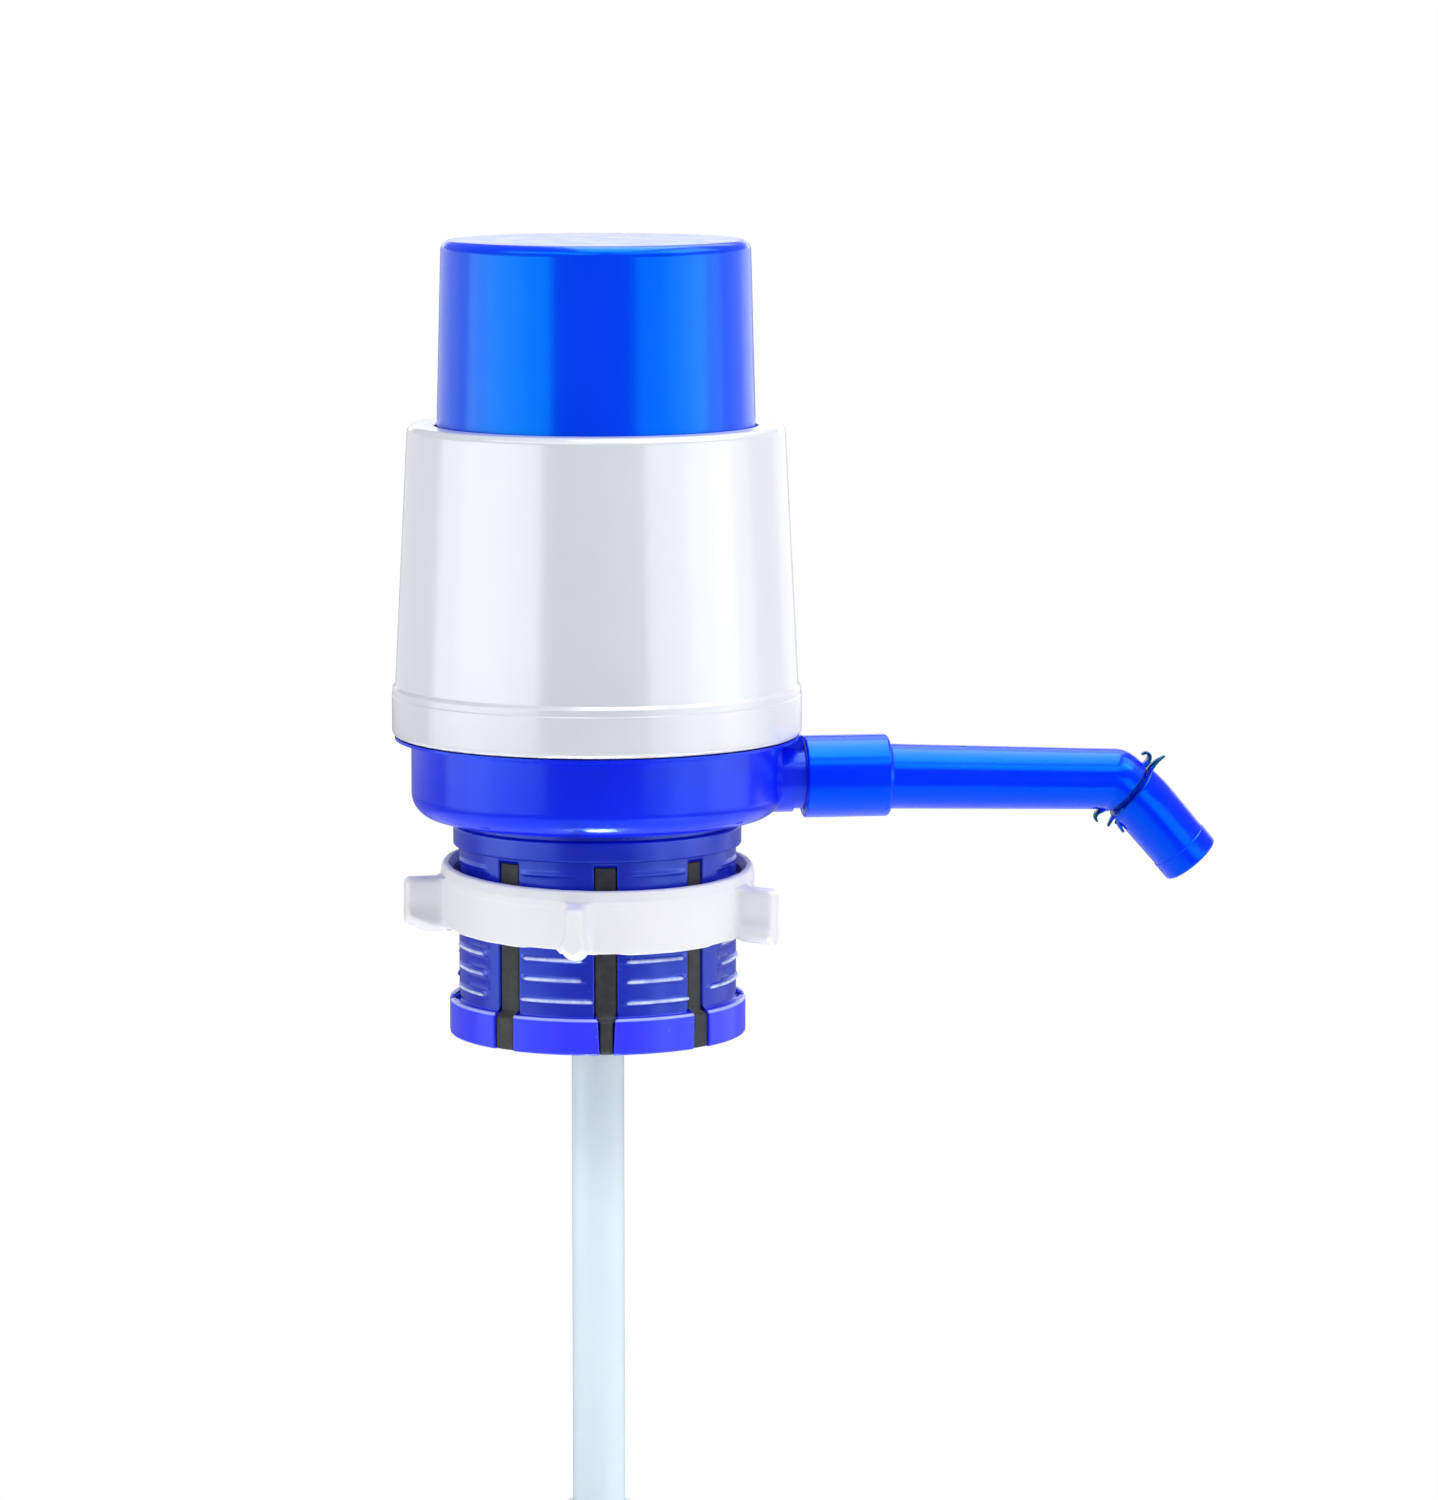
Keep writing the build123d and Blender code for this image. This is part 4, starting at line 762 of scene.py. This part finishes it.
def arm():
    rings = []
    for x, r in rounded([(47.3, 7.4, 0), (47.3, 9.4, 0.55), (67.0, 9.4, 1.9), (67.0, 7.45, 0.35), (69.0, 7.42, 0)], closed=False, step=9):
        share = 0.0 if r > 8.4 or x < 60 else (8.4 - r) / 0.98
        c = np.array([x, 0, ARM_Z]) * (1 - share) + on_tube(x) * share
        rings.append(circle(c, SLOPE * share, r))
    rings += [circle(on_tube(x), SLOPE, tube_r(x)) for x in np.arange(72.0, 115.0, 4.0)]
    lines = [bend_line(q) for q in np.arange(80) * 2 * math.pi / 80]
    rings += [[tuple(line[i]) for line in lines] for i in range(len(lines[0]))]
    for n, r in rounded([(-1.15, 6.98, 0), (-0.75, 6.98, 0.3), (-0.2, 6.1, 0.2), (-0.2, 5.6, 0.1), (2.1, 5.6, 0), (2.4, 5.85, 0.1), (2.8, 5.85, 0.1), (3.1, 5.6, 0),
                         (3.7, 5.6, 0.2), (3.7, 4.4, 0.2), (-0.4, 4.4, 0.2)], closed=False):
        rings.append(circle(J + n * along(JT), JT, r))
    rings += [circle(BEND_C + BEND_R * across(t), t, 4.8) for t in np.linspace(JT, SLOPE, 12)[1:]]
    rings += [circle(on_tube(x), SLOPE, 5.4 + 0.4 * (116 - x) / 52) for x in np.arange(114.0, 66.0, -4.0)]
    for x, r in ((65.2, 5.8), (64.9, 7.4), (62.7, 7.4), (62.7, 7.8), (60.3, 7.8), (60.3, 7.4)):
        rings.append(circle(np.array([x, 0, ARM_Z]), 0, r))
    return join(loops(rings),
                ear([(-1.2, 5.8), (-0.8, 7.3), (-0.9, 8.5), (-1.5, 9.3), (-2.4, 9.3), (-2.9, 8.4)], [1.7, 1.7, 1.6, 1.4, 1.2, 0.9],
                    [0.6, 0.55, 0.45, 0.4, 0.35, 0.25]),
                ear([(-1.2, -5.8), (-1.7, -7.4), (-2.1, -8.6), (-1.8, -9.6), (-0.8, -10.1)], [1.7, 1.7, 1.5, 1.2, 0.8],
                    [0.62, 0.55, 0.45, 0.38, 0.25]))


piece("arm", *arm(), "arm", ["spout_arm"], "arm_blue")


def stub_rib():
    """A small rib on top of the stub, from the base's wall to just short of the coupling."""
    line = rounded([(40.5, 20.0, 0), (40.5, 23.0, 0.3), (43.2, 24.1, 1.0), (46.9, 24.15, 0.4), (46.95, 20.6, 0.2), (46.2, 20.0, 0.1)], closed=True)
    rings = []
    for y, inset in ((-3.2, 0.45), (-3.45, 0.13), (-3.6, 0.0), (0.0, 0.0), (3.6, 0.0), (3.45, 0.13), (3.2, 0.45)):
        k = 1 - inset / 2.2
        rings.append([((x - 43.6) * (1 - inset / 3.1) + 43.6, y if abs(y) != 3.2 else math.copysign(3.62, y), (z - 21.5) * k + 21.5) for x, z in line])
    verts, faces = loops(rings, close_last=False)
    n = len(line)
    return verts, faces + [tuple(range(n - 1, -1, -1)), tuple(range(len(verts) - n, len(verts)))]


piece("stub_rib", *stub_rib(), "pump_body", [], "base_blue")

CORNER_L, NOZZLE_L, N_BEND_R = 4.83, 17.5, 12.0
N_TAN = N_BEND_R * math.tan((NT - JT) / 2)


def nozzle_place(s):
    """Centre and direction at a length s along the nozzle's middle line, from the joint."""
    s0 = CORNER_L - N_TAN
    turn = N_BEND_R * (NT - JT)
    if s < s0:
        return J + s * along(JT), JT
    centre = J + s0 * along(JT) - N_BEND_R * across(JT)
    if s < s0 + turn:
        t = JT + (s - s0) / N_BEND_R
        return centre + N_BEND_R * across(t), t
    return centre + N_BEND_R * across(NT) + (s - s0 - turn) * along(NT), NT


def nozzle():
    s0 = CORNER_L - N_TAN
    end = s0 + N_BEND_R * (NT - JT) + NOZZLE_L - N_TAN
    line = rounded([(0.3, 5.7, 0), (0.3, 6.3, 0.15), (0.8, 7.2, 0.3), (end - 4.75, 6.94, 0.2), (end - 4.6, 7.12, 0.15), (end, 7.06, 0.6), (end, 5.7, 0.35),
                    (end - 2, 5.7, 0)], closed=False, step=10)
    full = []
    for a, b in zip(line, line[1:]):            # short steps, so that the slight bend comes out round
        k = max(1, math.ceil(abs(b[0] - a[0]) / 0.8))
        full += [a + (b - a) * j / k for j in range(k)]
    outside = next(i for i, (s, r) in enumerate(full) if s > end - 1)
    full += [np.array([q, 5.7]) for q in np.arange(end - 2, 0.4, -0.8)]
    rings = []
    for i, (s, r) in enumerate(full):
        c, t = nozzle_place(s)
        if i < outside:                         # the outside runs straight from the joint's plane to the mouth
            part = smooth(0.0, 6.0, s)
            c = J + CORNER_L * along(JT) + (s - CORNER_L) * along(NT) - 0.4 * (1 - part) * across(NT)
            t = JT + (NT - JT) * smooth(0.0, 9.0, s)
            if s > 9:
                c = nozzle_place(s)[0]
        rings.append(circle(c, t, r))
    return join(loops(rings),
                ear([(1.0, 5.8), (0.7, 7.6), (0.8, 9.4), (1.4, 11.4)], [1.7, 1.6, 1.3, 0.7], [0.75, 0.62, 0.45, 0.25]),
                ear([(1.3, -5.8), (1.5, -7.4), (1.9, -9.2)], [1.2, 1.0, 0.7], [0.5, 0.4, 0.28]),
                ear([(2.2, -6.2), (3.7, -7.35), (5.5, -8.0)], [1.6, 1.5, 1.0], [0.5, 0.45, 0.3]),
                ear([(0.6, -4.2, -5.5), (1.0, -5.2, -4.8), (1.7, -6.5, -3.5), (2.3, -7.6, -2.3)], [0.5, 0.5, 0.5, 0.4], [0.45, 0.46, 0.46, 0.35]))


piece("nozzle_spout", *nozzle(), "outlet", ["nozzle"], "arm_blue")


# ---------------------------------------------------------------- bellows and spring
def bellows():
    crest, valley, z0, z1, folds, t = 32.6, 26.8, 37.2, 120.6, 11, 1.6
    step = (z1 - z0) / folds
    outer = [(crest, z0, 0.5)]
    for k in range(folds):
        outer += [(valley, z0 + (k + 0.5) * step, 0.7), (crest, z0 + (k + 1) * step, 0.7)]
    inner = [(r - t, z, 0.5) for r, z, _ in reversed(outer)]
    return lathe(rounded([(41.2, 33.0, 0.2), (41.2, 34.4, 0.4), (crest, 34.4, 0.4)] + outer +
                         [(31.5, 122.4, 0.4), (31.5, 127.9, 0.4), (20.0, 127.9, 0.3), (20.0, 126.5, 0.2), (30.4, 126.5, 0.2), (30.4, 122.6, 0.3)] +
                         inner + [(crest - t, 33.0, 0.2)], step=22), n=144)


fold = piece("bellows_skin", *bellows(), "pump_body", ["bellows"], "bellows_plastic")
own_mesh(fold)


def spring():
    r, wire, z0, z1, turns, n = 16.5, 0.8, 33.85, 123.15, 10, 14
    rings = []
    for i in range(turns * 40 + 1):
        a = 2 * math.pi * i / 40
        c = np.array([r * math.cos(a), r * math.sin(a), z0 + (z1 - z0) * i / (turns * 40)])
        d = np.array([-r * math.sin(a), r * math.cos(a), (z1 - z0) / (turns * 2 * math.pi)])
        d /= np.linalg.norm(d)
        o = np.array([math.cos(a), math.sin(a), 0])
        up = np.cross(o, d)
        rings.append([tuple(c + wire * (math.cos(q) * o + math.sin(q) * up)) for q in np.arange(n) * 2 * math.pi / n])
        if i in (0, turns * 40):
            cap = [tuple(c + d * (-0.12 if i == 0 else 0.12) + 0.8 * (np.array(p) - c)) for p in rings[-1]]
            rings = [cap] + rings if i == 0 else rings + [cap]
    verts, faces = loops(rings, close_last=False)
    return verts, faces + [tuple(range(n - 1, -1, -1)), tuple(range(len(verts) - n, len(verts)))]


coil = piece("spring_coil", *spring(), "pump_body", ["return_spring"], "spring_steel")
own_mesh(coil)

# ---------------------------------------------------------------- floor
me = bpy.data.meshes.new("floor")
R, N = 1.02, 128
me.from_pydata([(R * math.cos(2 * math.pi * i / N), R * math.sin(2 * math.pi * i / N), 0) for i in range(N)], [], [list(range(N))])
floor = bpy.data.objects.new("floor", me)
floor.location = (0, 0, cad_lo.z - 0.0005)
scene.collection.objects.link(floor)
fm = bpy.data.materials.new("floor")
fm.use_nodes = True
t = fm.node_tree
b = t.nodes["Principled BSDF"]
b.inputs["Base Color"].default_value = (0.8, 0.81, 0.83, 1)
b.inputs["Roughness"].default_value = 0.6
geo, tr, mx = t.nodes.new("ShaderNodeNewGeometry"), t.nodes.new("ShaderNodeBsdfTransparent"), t.nodes.new("ShaderNodeMixShader")
t.links.new(geo.outputs["Backfacing"], mx.inputs[0])
t.links.new(b.outputs[0], mx.inputs[1])
t.links.new(tr.outputs[0], mx.inputs[2])
t.links.new(mx.outputs[0], t.nodes["Material Output"].inputs["Surface"])
me.materials.append(fm)
